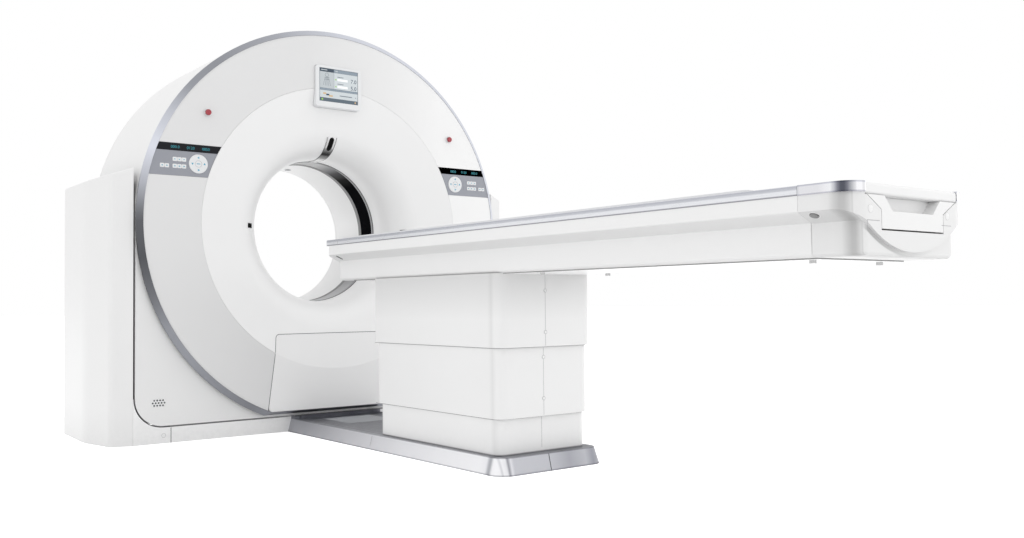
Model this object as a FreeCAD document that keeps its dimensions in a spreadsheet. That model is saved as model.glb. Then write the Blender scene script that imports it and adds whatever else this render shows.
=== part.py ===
import FreeCAD, Part
import Sketcher
import math
import os

# Computed tomography scanner: a ring-shaped gantry that tilts between two side pillars, and a
# patient table whose top slides into the bore. Millimetres. The origin is on the floor below
# the isocentre; +X to the right seen from the table, +Y along the bore away from the table,
# +Z up. "Forward" means towards the table, that is along -Y, measured from the scan plane.

SIZES = {
    # bore, isocentre and the round front of the gantry
    "bore_radius": 350,
    "front_depth": 331,        # scan plane to the outer edge of the rim
    "rim_radius": 946,
    "rim_width": 25,
    "rim_rise": 20,            # how far the rim's inner edge stands forward of its outer edge
    "rim_thickness": 9,
    "rim_neck_wall": 8,
    "rim_foot_width": 14,
    "rim_foot_rise": 11,       # casing's underside up to the flat at the foot of the rim
    "seam_gap": 0.8,
    "overcut": 10,             # how far a cut runs past the material
    "merge": 1,                # how far joined features run into each other
    "skin_wall": 6,
    "fascia_recess": 3,
    "seam_radius": 670,        # joint between the flat fascia and the cone
    "cone_depth": 76,          # fascia plane to where the cone would meet the bore
    "funnel_round": 170,
    "window_width": 117,
    "window_wall": 4,
    "liner_wall": 5,
    # casing round the rotor
    "flat_setin": 6,           # rim's edge in to the casing's upright side
    "drum_setin": 2,           # rim's edge in to the casing's round top
    "rotor_room": 10,          # rotor down to the underside of the casing
    "floor_room": 75,          # casing down to the floor
    "body_corner": 120,
    "body_front": 309,
    "body_rear": 369,
    "rear_round": 40,
    "rear_rim_depth": 44,
    "rear_bore_lip": 43,
    "casing_wall": 5,
    "split_rise": 2,           # axis up to the joint between the lower and upper casing
    # access door
    "door_top": 503,           # axis down to the top edge
    "door_top_half": 312,
    "door_foot_gap": 1,        # lower edge up from the rim's inner edge
    "door_foot_half": 359.5,
    "door_round": 20,
    "blank_past": 50,
    # display
    "display_half": 122,
    "display_low": 575,        # axis up to the lower edge
    "display_tall": 198,
    "display_depth": 16,
    "display_round": 14,
    "screen_half": 103,
    "screen_low": 602,
    "screen_tall": 159,
    "screen_depth": 3,
    # control panels, emergency stops and laser windows
    "panel_tall": 141,
    "panel_overlap": 134,
    "panel_depth": 3,
    "pad_share": 6,            # panel widths to a pad's radius
    "pad_setback": 28,
    "pad_up": 254,
    "pad_room": 15.2,          # below the pad to the panel's lower edge
    "pad_rise": 3,
    "key_gap": 1.6,
    "key_tall": 17,
    "key_rise": 0.8,
    "key_share": 12.5,         # panel widths to a key's pitch
    "key_upper": 268,
    "key_lower": 238,
    "key_offset": 3.2,         # pitches between the two groups of keys
    "stop_setin": 278,
    "stop_up": 485,
    "stop_cap_radius": 13,
    "stop_stem_radius": 9,
    "stop_collar_radius": 17,
    "stop_collar_rise": 5,
    "stop_travel": 4,
    "button_gap": 0.4,
    "laser_angle": 7.5,
    "side_laser_angle": 3,
    "laser_wall": 2,
    "laser_lift": 0.3,
    "side_laser_radius": 413,
    "side_laser_long": 26,
    "laser_top": 444,          # axis up to the strip's upper end
    # speaker grille in the lower left corner
    "grille_setin": 99,
    "grille_wide": 62,
    "grille_tall": 34,
    "grille_thick": 3,
    "grille_hole": 4,
    "grille_pitch": 12.5,
    "grille_row": 10.9,
    "grille_round": 5,
    # side pillars and skirt
    "pillar_gap": 9,
    "pillar_rise": 223,        # axis up to the pillar's top
    "pillar_slant": 43,
    "pillar_wide": 131,
    "pillar_front": 309,
    "pillar_rear": 362,
    "pillar_wall": 5,
    "pillar_bevel": 45,
    "pillar_bevel_round": 25,
    "pillar_cheek": 276,
    "pillar_widest": 60,
    "pillar_taper": 18,
    "pillar_round": 32,
    "pillar_top_round": 9,
    "skirt_room": 7,           # skirt up to the casing
    "skirt_thick": 12,
    "skirt_back_drop": 8,
    "skirt_joint_setin": 152,
    # steel frame on the floor
    "floor_plate": 8,
    "plate_rear": 330,
    "plate_past": 2,
    "sole_front": 230,
    "sole_rear": 325,
    "sole_tall": 72,
    "sole_wide": 70,
    "sole_past": 25,
    "upright_setout": 35,
    "upright_thick": 35,
    "upright_half": 120,
    "upright_rise": 105,
    "anchor_radius": 9,
    "anchor_setout": 45,
    "anchor_along": 250,
    "trunnion_radius": 60,
    "trunnion_past": 5,
    "trunnion_gap": 0.3,
    "bearing_wall": 16,
    "gearbox_radius": 88,
    "gearbox_thick": 22,
    "gearbox_round": 20,
    "motor_radius": 45,
    "motor_long": 72,
    "motor_drop": 225,
    "motor_along": 173,
    "motor_flange": 10,
    # stationary ring and rotor inside the casing
    "stator_setin": 41,
    "stator_lap": 10,
    "stator_thick": 22,
    "stator_foot_rise": 18,
    "arm_setin": 61,
    "arm_thick": 40,
    "arm_half": 130,
    "arm_front": 70,
    "rotor_setin": 76,
    "rotor_bore_room": 24,
    "rotor_plate": 20,
    "rotor_half": 150,
    "rotor_wall": 16,
    "race_setout": 26,
    "race_wall": 30,
    "race_width": 60,
    "race_gap": 0.5,
    "race_offset": 6,
    "outer_race_wall": 40,
    "slip_inner": 600,
    "slip_outer": 700,
    "slip_thick": 20,
    "brush_wide": 120,
    "brush_gap": 0.5,
    "tube_radius": 130,
    "tube_setout": 18,         # middle of the rotor's width out to the tube's axis
    "tube_front": 130,
    "collimator_gap": 1,
    "collimator_room": 46,     # rotor's opening out to the collimator
    "collimator_half": 100,
    "collimator_depth": 60,
    "block_round": 10,
    "focus_drop": 70,
    "detector_setin": 380,
    "detector_thick": 70,
    "detector_angle": 26,
    "detector_depth": 55,
    "block_setin": 90,
    "generator_long": 300,
    "generator_half": 140,
    "exchanger_long": 300,
    "exchanger_half": 140,
    "fin_pitch": 30,
    "fin_slot": 14,
    "fin_depth": 40,
    "databox_setin": 120,
    "databox_tall": 100,
    "databox_half": 150,
    # patient table: heights are measured from the rail seat
    "table_height": 841,
    "head_reach": 731,         # forward from the scan plane
    "foot_reach": 3291,
    "head_seam": 830,
    "foot_block_long": 149,
    "foot_corner": 60,
    "head_corner": 25,
    "box_corner": 20,
    "head_box_corner": 20,
    "band_half": 260,
    "band_tall": 40,
    "groove_half": 208,
    "groove_drop": 64,
    "box_half": 206,
    "box_drop": 149,
    "box_round": 12,
    "box_setback": 8,
    "head_setback": 4,         # box's face behind the head, at its top
    "head_slant": 40,          # further back at its foot
    "pad_tall": 3.5,
    "pad_half": 150,
    "smile_drop": 223,         # where the arc's two tangents would meet
    "smile_radius": 330,
    "cover_wall": 4,
    "rail_inner": 209,
    "rail_outer": 262,
    "rail_tall": 25,
    "rail_round": 5,
    "under_half": 187,
    "under_thick": 3,
    "frame_half": 180,
    "frame_plate": 12,
    "frame_lift": 8,           # frame underside above the box underside
    "web_inner": 146,
    "web_thick": 12,
    "shelf_drop": 36,
    "shelf_thick": 8,
    "shelf_half": 236,
    "rib_inner": 222,
    "guide_inner": 90,
    "guide_wide": 20,
    "slide_gap": 0.5,
    # sliding top
    "cradle_half": 206,
    "cradle_low": 4,
    "cradle_tall": 33,
    "cradle_dish": 16,
    "dish_radius": 1150,
    "cradle_wall": 12,
    "deck_setin": 332,         # foot end in to the cradle's foot
    "cradle_round": 45,
    "carriage_half": 140,
    "carriage_drop": 84,
    "flare_drop": 38,
    "flare_half": 200,
    "deck_drop": 5,
    "deck_rise": 24,
    "deck_half": 202,
    "tongue_long": 359,
    "tongue_half": 156,
    "carriage_wall": 10,
    "end_cover_thick": 40,
    "grip_half": 132,
    "grip_lower_half": 92,
    "grip_depth": 30,
    "grip_tall": 36,
    "grip_round": 6,
    "handle_half": 207,
    "handle_round": 8,
    "channel_gap": 2,
    # lift column, its covers and the base on the floor
    "column_rear": 1032,       # forward from the scan plane
    "column_front": 1896,
    "column_half": 213,
    "column_round": 37,
    "column_wall": 3,
    "step_side": 4,
    "step_foot": 13.5,
    "step_head": 20,
    "column_lid": 5,
    "upper_low": 433,
    "middle_low": 187,
    "lower_low": 60,
    "cover_lap": 10,
    "lip_tall": 6,
    "lift_centre": 1480,
    "lift_half": 110,
    "lift_long": 300,
    "lift_wall": 12,
    "lift_fixed_tall": 258,
    "lift_middle_low": 250,
    "lift_middle_tall": 250,
    "lift_inner_low": 430,
    "base_half": 244,
    "base_front": 1931,
    "base_tall": 60,
    "base_slope": 16,
    "base_round": 60,
    "ridge_tall": 14,
    "ridge_long": 36,
    "hatch_half": 120,
    "hatch_rear": 430,
    "hatch_long": 230,
    "hatch_thick": 3,
    "bumper_radius": 9,
    "bumper_tall": 11,
    "bumper_across": 150,
    "bumper_setin": 37,        # foot seam in to the foot bumpers
    "bumper_setout": 155,      # column to the front bumpers
    "knob_setin": 116,
    "knob_across": 241,
    "knob_radius": 11,
    "knob_rise": 3,
    "knob_deep": 9,
    "knob_travel": 3,
}

doc = FreeCAD.newDocument("ct_scanner")
sheet = doc.addObject("Spreadsheet::Sheet", "Sizes")
for row, (alias, number) in enumerate(SIZES.items(), start=1):
    sheet.set(f"A{row}", alias)
    sheet.set(f"B{row}", str(number))
    sheet.setAlias(f"B{row}", alias)
doc.recompute()


class Size(float):
    """A number from the sheet, together with the formula that gives it."""

    def __new__(cls, number, formula):
        size = float.__new__(cls, number)
        size.formula = formula
        return size

    def __add__(self, other):
        return Size(float(self) + float(other), f"({self.formula} + {formula_of(other)})")

    def __radd__(self, other):
        return Size(float(other) + float(self), f"({formula_of(other)} + {self.formula})")

    def __sub__(self, other):
        return Size(float(self) - float(other), f"({self.formula} - {formula_of(other)})")

    def __rsub__(self, other):
        return Size(float(other) - float(self), f"({formula_of(other)} - {self.formula})")

    def __mul__(self, other):
        return Size(float(self) * float(other), f"({self.formula} * {formula_of(other)})")

    def __rmul__(self, other):
        return Size(float(other) * float(self), f"({formula_of(other)} * {self.formula})")

    def __truediv__(self, other):
        return Size(float(self) / float(other), f"({self.formula} / {formula_of(other)})")

    def __neg__(self):
        return Size(-float(self), f"(0 - {self.formula})")


def formula_of(number):
    return number.formula if isinstance(number, Size) else repr(float(number))


class Sheet:
    """Gives each size of the sheet by its alias."""

    def __getattr__(self, alias):
        return Size(float(sheet.get(alias)), f"Sizes.{alias}")


s = Sheet()


# ---------------------------------------------------------------- building helpers

def bind(thing, field, number):
    if isinstance(number, Size):
        thing.setExpression(field, number.formula)
    else:
        setattr(thing, field, number)


def new_body(name, lift=None):
    body = doc.addObject("PartDesign::Body", name)
    body.Label = name
    if lift is not None:
        body.setExpression("Placement.Base.z", lift.formula)
    return body


def sketch_on(body, role, forward=None):
    """A sketch on one of the body's own planes, moved along the plane's normal.

    XZ_Plane looks along +Y, so its normal points forward and "forward" is its offset.
    """
    sketch = body.newObject("Sketcher::SketchObject", f"{body.Name}_sketch")
    plane = [item for item in body.Origin.OriginFeatures if item.Role == role][0]
    sketch.AttachmentSupport = [(plane, "")]
    sketch.MapMode = "FlatFace"
    if isinstance(forward, Size):
        sketch.setExpression(".AttachmentOffset.Base.z", forward.formula)
    elif forward is not None:
        sketch.AttachmentOffset = FreeCAD.Placement(
            FreeCAD.Vector(0, 0, forward), FreeCAD.Rotation())
    return sketch


def vector(across, up):
    return FreeCAD.Vector(float(across), float(up), 0)


def drive(sketch, constraint, number):
    index = sketch.addConstraint(constraint)
    if isinstance(number, Size):
        sketch.setExpression(f"Constraints[{index}]", number.formula)


def pin(sketch, geometry, point, across, up):
    """Hold a point of the sketch at its two driven distances from the sketch's origin."""
    for kind, number, axis in (("DistanceX", across, -2), ("DistanceY", up, -1)):
        if float(number) == 0:
            sketch.addConstraint(Sketcher.Constraint("PointOnObject", geometry, point, axis))
        else:
            drive(sketch, Sketcher.Constraint(kind, -1, 1, geometry, point, float(number)), number)


def outline(sketch, corners):
    """Close a loop of straight sides through corners (across, up) or (across, up, radius)."""
    places = [vector(corner[0], corner[1]) for corner in corners]
    rounds = [corner[2] if len(corner) > 2 else None for corner in corners]
    count = len(corners)
    leave, arrive, arcs = [], [], []
    for i, place in enumerate(places):
        if rounds[i] is None:
            leave.append(place)
            arrive.append(place)
            arcs.append(None)
            continue
        back = (places[i - 1] - place).normalize()
        ahead = (places[(i + 1) % count] - place).normalize()
        half = back.getAngle(ahead) / 2
        run = float(rounds[i]) / math.tan(half)
        centre = place + (back + ahead).normalize() * (float(rounds[i]) / math.sin(half))
        arrive.append(place + back * run)
        leave.append(place + ahead * run)
        arcs.append((centre, back.cross(ahead).z < 0))
    sides = [sketch.addGeometry(Part.LineSegment(leave[i], arrive[(i + 1) % count]), False)
             for i in range(count)]
    for i, place in enumerate(places):
        before, after = sides[i - 1], sides[i]
        if arcs[i] is None:
            sketch.addConstraint(Sketcher.Constraint("Coincident", before, 2, after, 1))
            pin(sketch, after, 1, corners[i][0], corners[i][1])
            continue
        centre, turns_left = arcs[i]
        first, last = (arrive[i], leave[i]) if turns_left else (leave[i], arrive[i])
        angles = [math.atan2(spot.y - centre.y, spot.x - centre.x) for spot in (first, last)]
        circle = Part.Circle(centre, FreeCAD.Vector(0, 0, 1), float(rounds[i]))
        arc = sketch.addGeometry(Part.ArcOfCircle(circle, angles[0], angles[1]), False)
        starts, ends = (1, 2) if turns_left else (2, 1)
        sketch.addConstraint(Sketcher.Constraint("Tangent", before, 2, arc, starts))
        sketch.addConstraint(Sketcher.Constraint("Tangent", arc, ends, after, 1))
        drive(sketch, Sketcher.Constraint("Radius", arc, float(rounds[i])), rounds[i])
        tip = sketch.addGeometry(Part.Point(place), True)
        sketch.addConstraint(Sketcher.Constraint("PointOnObject", tip, 1, before))
        sketch.addConstraint(Sketcher.Constraint("PointOnObject", tip, 1, after))
        pin(sketch, tip, 1, corners[i][0], corners[i][1])


def mirrored(corners, sign):
    return [(sign * corner[0],) + tuple(corner[1:]) for corner in corners]


def circle_on(sketch, radius, across=0, up=0):
    geometry = sketch.addGeometry(
        Part.Circle(vector(across, up), FreeCAD.Vector(0, 0, 1), float(radius)), False)
    drive(sketch, Sketcher.Constraint("Radius", geometry, float(radius)), radius)
    pin(sketch, geometry, 3, across, up)


def arched(sketch, radius, half, low, corner=None):
    """An outline with an upper arc about the origin, upright sides and a flat foot."""
    rise = math.sqrt(float(radius) ** 2 - float(half) ** 2)
    top = FreeCAD.Vector(0, 0, 1)
    arc = sketch.addGeometry(Part.ArcOfCircle(
        Part.Circle(vector(0, 0), top, float(radius)),
        math.atan2(rise, half), math.pi - math.atan2(rise, half)), False)
    sketch.addConstraint(Sketcher.Constraint("Coincident", arc, 3, -1, 1))
    drive(sketch, Sketcher.Constraint("Radius", arc, float(radius)), radius)
    inset = float(corner) if corner is not None else 0
    right = sketch.addGeometry(
        Part.LineSegment(vector(half, low + inset), vector(half, rise)), False)
    left = sketch.addGeometry(
        Part.LineSegment(vector(-half, rise), vector(-half, low + inset)), False)
    foot = sketch.addGeometry(
        Part.LineSegment(vector(-half + inset, low), vector(half - inset, low)), False)
    sketch.addConstraint(Sketcher.Constraint("Coincident", right, 2, arc, 1))
    sketch.addConstraint(Sketcher.Constraint("Coincident", arc, 2, left, 1))
    sketch.addConstraint(Sketcher.Constraint("Vertical", right))
    sketch.addConstraint(Sketcher.Constraint("Vertical", left))
    sketch.addConstraint(Sketcher.Constraint("Horizontal", foot))
    drive(sketch, Sketcher.Constraint("DistanceX", -1, 1, right, 2, float(half)), half)
    drive(sketch, Sketcher.Constraint("DistanceX", left, 1, -1, 1, float(half)), half)
    drive(sketch, Sketcher.Constraint("DistanceY", -1, 1, foot, 1, float(low)), low)
    if corner is None:
        sketch.addConstraint(Sketcher.Constraint("Coincident", foot, 2, right, 1))
        sketch.addConstraint(Sketcher.Constraint("Coincident", left, 2, foot, 1))
        return
    for sign, before, after in ((1, foot, right), (-1, left, foot)):
        start = -math.pi / 2 if sign > 0 else math.pi
        bend = sketch.addGeometry(Part.ArcOfCircle(
            Part.Circle(vector(sign * (half - inset), low + inset), top, inset),
            start, start + math.pi / 2), False)
        sketch.addConstraint(Sketcher.Constraint("Tangent", before, 2, bend, 1))
        sketch.addConstraint(Sketcher.Constraint("Tangent", bend, 2, after, 1))
        drive(sketch, Sketcher.Constraint("Radius", bend, inset), corner)


def flat_disc(sketch, radius, drop):
    """A circle about the origin cut by a level chord below it."""
    half = math.sqrt(float(radius) ** 2 - float(drop) ** 2)
    angle = math.atan2(float(drop), half)
    arc = sketch.addGeometry(Part.ArcOfCircle(
        Part.Circle(vector(0, 0), FreeCAD.Vector(0, 0, 1), float(radius)),
        -angle, math.pi + angle), False)
    chord = sketch.addGeometry(Part.LineSegment(vector(-half, -drop), vector(half, -drop)), False)
    sketch.addConstraint(Sketcher.Constraint("Coincident", arc, 3, -1, 1))
    sketch.addConstraint(Sketcher.Constraint("Coincident", arc, 2, chord, 1))
    sketch.addConstraint(Sketcher.Constraint("Coincident", chord, 2, arc, 1))
    sketch.addConstraint(Sketcher.Constraint("Horizontal", chord))
    drive(sketch, Sketcher.Constraint("Radius", arc, float(radius)), radius)
    drive(sketch, Sketcher.Constraint("DistanceY", chord, 1, -1, 1, float(drop)), drop)


def box_outline(sketch, low_x, high_x, low_y, high_y, corner=None):
    ring = [(low_x, low_y), (high_x, low_y), (high_x, high_y), (low_x, high_y)]
    outline(sketch, [spot + (corner,) for spot in ring] if corner is not None else ring)


def feature(body, kind, sketch):
    item = body.newObject(f"PartDesign::{kind}", f"{body.Name}_{kind.lower()}")
    item.Profile = sketch
    sketch.Visibility = False
    return item


def pad(body, sketch, length, backward=False, midplane=False):
    item = feature(body, "Pad", sketch)
    bind(item, "Length", length)
    item.Reversed = backward
    item.SideType = "Symmetric" if midplane else "One side"


def pocket(body, sketch, length=None, forward=False):
    """Cut backward from the sketch, forward from it, or right through when no length is given."""
    doc.recompute()
    before = body.Shape.Volume
    item = feature(body, "Pocket", sketch)
    if length is None:
        item.Type = "ThroughAll"
        item.SideType = "Symmetric"
    else:
        bind(item, "Length", length)
        item.Reversed = forward
    doc.recompute()
    if not body.Shape.Volume < before - 1e-3:
        raise ValueError(f"{item.Name} cuts nothing")
    return item


def revolve(body, sketch, axis="H_Axis", angle=360, centred=False):
    item = feature(body, "Revolution", sketch)
    item.ReferenceAxis = (sketch, [axis])
    bind(item, "Angle", angle)
    item.Midplane = centred


def groove(body, sketch, axis="H_Axis"):
    doc.recompute()
    before = body.Shape.Volume
    item = feature(body, "Groove", sketch)
    item.ReferenceAxis = (sketch, [axis])
    item.Angle = 360
    doc.recompute()
    if not body.Shape.Volume < before - 1e-3:
        raise ValueError(f"{item.Name} cuts nothing")


def fillet(body, test, radius):
    """Round those edges of the body's newest feature that pass the test."""
    doc.recompute()
    base = body.Tip
    names = [f"Edge{i}" for i, edge in enumerate(base.Shape.Edges, start=1) if test(edge)]
    item = body.newObject("PartDesign::Fillet", f"{body.Name}_fillet")
    item.Base = (base, names)
    bind(item, "Radius", radius)


def spread(body, item, role, length, count):
    """Repeat a feature in a row along one of the body's origin axes."""
    pattern = body.newObject("PartDesign::LinearPattern", f"{body.Name}_row")
    pattern.Originals = [item]
    axis = [part for part in body.Origin.OriginFeatures if part.Role == role][0]
    pattern.Direction = (axis, [""])
    bind(pattern, "Length", length)
    pattern.Occurrences = count
    body.Tip = pattern


# ---------------------------------------------------------------- places that follow other sizes

drum_radius = s.rim_radius - s.drum_setin
body_half = s.rim_radius - s.flat_setin
stator_outer = s.rim_radius - s.stator_setin
arm_inner = s.rim_radius - s.arm_setin
rotor_outer = s.rim_radius - s.rotor_setin
body_drop = rotor_outer + s.rotor_room
rim_drop = body_drop - s.rim_foot_rise
stator_drop = body_drop - s.stator_foot_rise
iso_height = body_drop + s.floor_room
skirt_height = s.floor_room - s.skirt_room
rim_inner = s.rim_radius - s.rim_width
rim_inner_drop = rim_drop - s.rim_foot_width
door_foot = rim_inner_drop - s.door_foot_gap
panel_inner = s.seam_radius - s.panel_overlap
panel_wide = rim_inner - s.seam_radius
pad_radius = panel_wide / s.pad_share
pad_across = s.seam_radius - s.pad_setback + pad_radius
panel_low = s.pad_up - pad_radius - s.pad_room
key_pitch = panel_wide / s.key_share
key_wide = key_pitch - s.key_gap
key_across = pad_across + pad_radius * 2
key_outer = key_across + key_pitch * s.key_offset
stop_across = rim_inner - s.stop_setin
grille_across = body_half - s.grille_setin
grille_drop = body_drop - s.grille_setin
skirt_joint = body_half - s.skirt_joint_setin
pillar_inner = body_half + s.pillar_gap
pillar_outer = pillar_inner + s.pillar_wide
pillar_height = iso_height + s.pillar_rise
pillar_shoulder = pillar_height - s.pillar_slant
plate_half = body_half + s.plate_past
sole_inner = body_half + s.sole_past
anchor_across = sole_inner + s.anchor_setout
upright_inner = sole_inner + s.upright_setout
upright_height = iso_height + s.upright_rise
trunnion_end = upright_inner + s.upright_thick + s.trunnion_past
rotor_inner = s.bore_radius + s.rotor_bore_room
race_inner = rotor_inner + s.race_setout
stator_inner = race_inner + s.race_wall + s.stator_lap
tube_across = (rotor_inner + rotor_outer) / 2 + s.tube_setout
focus_up = tube_across - s.focus_drop
collimator_low = rotor_inner + s.collimator_room
collimator_high = tube_across - s.tube_radius - s.collimator_gap
detector_reach = focus_up + rotor_outer - s.detector_setin
generator_inner = rotor_outer - s.block_setin - s.generator_long
exchanger_inner = rotor_outer - s.block_setin - s.exchanger_long
databox_low = rotor_outer - s.databox_setin - s.databox_tall
foot_seam = s.foot_reach - s.foot_block_long
cradle_foot = s.foot_reach - s.deck_setin
tongue_end = cradle_foot - s.tongue_long
knob_reach = s.foot_reach - s.knob_setin


# ---------------------------------------------------------------- the round front of the gantry

fascia_front = s.front_depth + s.rim_rise - s.fascia_recess
cone_corner = fascia_front - s.cone_depth
cone_slope = s.cone_depth / (s.seam_radius - s.bore_radius)
skin_edge = s.front_depth - s.rim_thickness


def make_rim_ring():
    body = new_body("rim_ring", iso_height)
    sketch = sketch_on(body, "XZ_Plane", skin_edge)
    flat_disc(sketch, s.rim_radius, rim_drop)
    pad(body, sketch, s.rim_thickness)
    edge = sketch_on(body, "XZ_Plane", s.front_depth)
    flat_disc(edge, s.rim_radius, rim_drop)
    crest = sketch_on(body, "XZ_Plane", s.front_depth + s.rim_rise)
    flat_disc(crest, rim_inner + s.merge, rim_inner_drop + s.merge)
    slope = body.newObject("PartDesign::AdditiveLoft", "rim_slope")
    slope.Profile = edge
    slope.Sections = [crest]
    slope.Ruled = True
    hole = sketch_on(body, "XZ_Plane")
    flat_disc(hole, rim_inner, rim_inner_drop)
    pocket(body, hole)
    neck = sketch_on(body, "XZ_Plane", s.body_front)
    neck_radius = body_half - s.casing_wall - s.seam_gap
    neck_drop = rim_drop - s.rim_neck_wall / 2
    flat_disc(neck, neck_radius, neck_drop)
    flat_disc(neck, rim_inner + s.merge, neck_drop - s.rim_neck_wall)
    pad(body, neck, skin_edge - s.body_front + s.merge)
    return body


def door_corners(gap, below=0):
    """The access door's outline, grown by a gap all round and carried on below its foot."""
    flare = below * (s.door_foot_half - s.door_top_half) / (door_foot - s.door_top)
    foot = s.door_foot_half + gap + flare
    top = s.door_top_half + gap
    low = -door_foot - gap - below
    high = -s.door_top + gap
    corner = s.door_round + gap
    return [(-foot, low, corner), (foot, low, corner), (top, high, corner), (-top, high, corner)]


def cut_display_opening(body):
    sketch = sketch_on(body, "XZ_Plane")
    box_outline(sketch, -s.display_half - s.seam_gap, s.display_half + s.seam_gap,
                s.display_low - s.seam_gap, s.display_low + s.display_tall + s.seam_gap,
                s.display_round)
    pocket(body, sketch)


def make_fascia_ring():
    body = new_body("fascia_ring", iso_height)
    sketch = sketch_on(body, "YZ_Plane")
    box_outline(sketch, -fascia_front, -fascia_front + s.skin_wall,
                s.seam_radius + s.seam_gap / 2, rim_inner - s.seam_gap)
    revolve(body, sketch)
    foot = sketch_on(body, "XZ_Plane")
    box_outline(foot, -s.rim_radius, s.rim_radius, -s.rim_radius - s.rim_width,
                -rim_inner_drop + s.seam_gap)
    pocket(body, foot)
    door = sketch_on(body, "XZ_Plane")
    outline(door, door_corners(s.seam_gap, s.door_round * 2))
    pocket(body, door)
    cut_display_opening(body)
    recess = sketch_on(body, "XZ_Plane", fascia_front)
    for sign in (-1, 1):
        ends = sorted((sign * s.rim_radius, sign * panel_inner))
        box_outline(recess, ends[0], ends[1], panel_low - s.seam_gap,
                    panel_low + s.panel_tall + s.seam_gap)
    pocket(body, recess, s.panel_depth)
    collars = sketch_on(body, "XZ_Plane", fascia_front)
    for sign in (-1, 1):
        circle_on(collars, s.stop_collar_radius,
                  sign * stop_across, s.stop_up)
    pad(body, collars, s.stop_collar_rise)
    holes = sketch_on(body, "XZ_Plane")
    for sign in (-1, 1):
        circle_on(holes, s.stop_stem_radius + s.button_gap, sign * stop_across, s.stop_up)
        circle_on(holes, pad_radius + s.button_gap, sign * pad_across, s.pad_up)
    pocket(body, holes)
    return body


def make_bore_funnel():
    body = new_body("bore_funnel", iso_height)
    sketch = sketch_on(body, "YZ_Plane")
    throat = s.window_width / 2 + s.seam_gap
    outline(sketch, [
        (-fascia_front, s.seam_radius - s.seam_gap / 2),
        (-cone_corner, s.bore_radius, s.funnel_round),
        (-throat, s.bore_radius),
        (-throat, s.bore_radius + s.skin_wall),
        (-cone_corner + s.skin_wall * (1 - cone_slope), s.bore_radius + s.skin_wall,
         s.funnel_round - s.skin_wall),
        (-fascia_front + s.skin_wall, s.seam_radius - s.seam_gap / 2)])
    revolve(body, sketch)
    door = sketch_on(body, "XZ_Plane")
    outline(door, door_corners(s.seam_gap))
    pocket(body, door)
    cut_display_opening(body)
    return body


def make_access_door():
    """A plate that follows the flat fascia and the cone, so it is carved from a thick block."""
    body = new_body("access_door", iso_height)
    block = sketch_on(body, "XZ_Plane", fascia_front - s.cone_depth)
    outline(block, door_corners(0))
    pad(body, block, s.cone_depth + s.blank_past)
    low_reach = s.door_top - s.blank_past
    low_depth = (s.seam_radius - low_reach) * cone_slope
    high_reach = s.rim_radius + s.blank_past
    front = sketch_on(body, "YZ_Plane")
    outline(front, [(-fascia_front - s.cone_depth, low_reach),
                    (-fascia_front - s.cone_depth, high_reach),
                    (-fascia_front, high_reach), (-fascia_front, s.seam_radius),
                    (-fascia_front + low_depth, low_reach)])
    groove(body, front)
    back = sketch_on(body, "YZ_Plane")
    outline(back, [(-fascia_front + s.skin_wall, high_reach),
                   (-fascia_front + s.skin_wall, s.seam_radius),
                   (-fascia_front + s.skin_wall + low_depth, low_reach),
                   (-s.window_width, low_reach), (-s.window_width, high_reach)])
    groove(body, back)
    return body


def make_scan_window():
    body = new_body("scan_window", iso_height)
    sketch = sketch_on(body, "YZ_Plane")
    box_outline(sketch, -s.window_width / 2, s.window_width / 2,
                s.bore_radius, s.bore_radius + s.window_wall)
    revolve(body, sketch)
    return body


def make_bore_liner():
    body = new_body("bore_liner", iso_height)
    sketch = sketch_on(body, "YZ_Plane")
    box_outline(sketch, s.window_width / 2 + s.seam_gap,
                s.body_rear - s.rear_rim_depth - s.seam_gap,
                s.bore_radius, s.bore_radius + s.liner_wall)
    revolve(body, sketch)
    return body


# ---------------------------------------------------------------- casing round the rotor

casing_back = s.body_rear - s.rear_rim_depth - s.seam_gap


def cut_trunnion_holes(body):
    sketch = sketch_on(body, "YZ_Plane")
    circle_on(sketch, s.trunnion_radius + s.seam_gap)
    pocket(body, sketch)


def make_drum_mantle():
    body = new_body("drum_mantle", iso_height)
    sketch = sketch_on(body, "XZ_Plane", -casing_back)
    arched(sketch, drum_radius, body_half, s.split_rise)
    pad(body, sketch, casing_back + skin_edge - s.seam_gap)
    hollow = sketch_on(body, "XZ_Plane")
    arched(hollow, drum_radius - s.casing_wall, body_half - s.casing_wall,
           s.split_rise - s.body_corner)
    pocket(body, hollow)
    cut_trunnion_holes(body)
    return body


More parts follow.
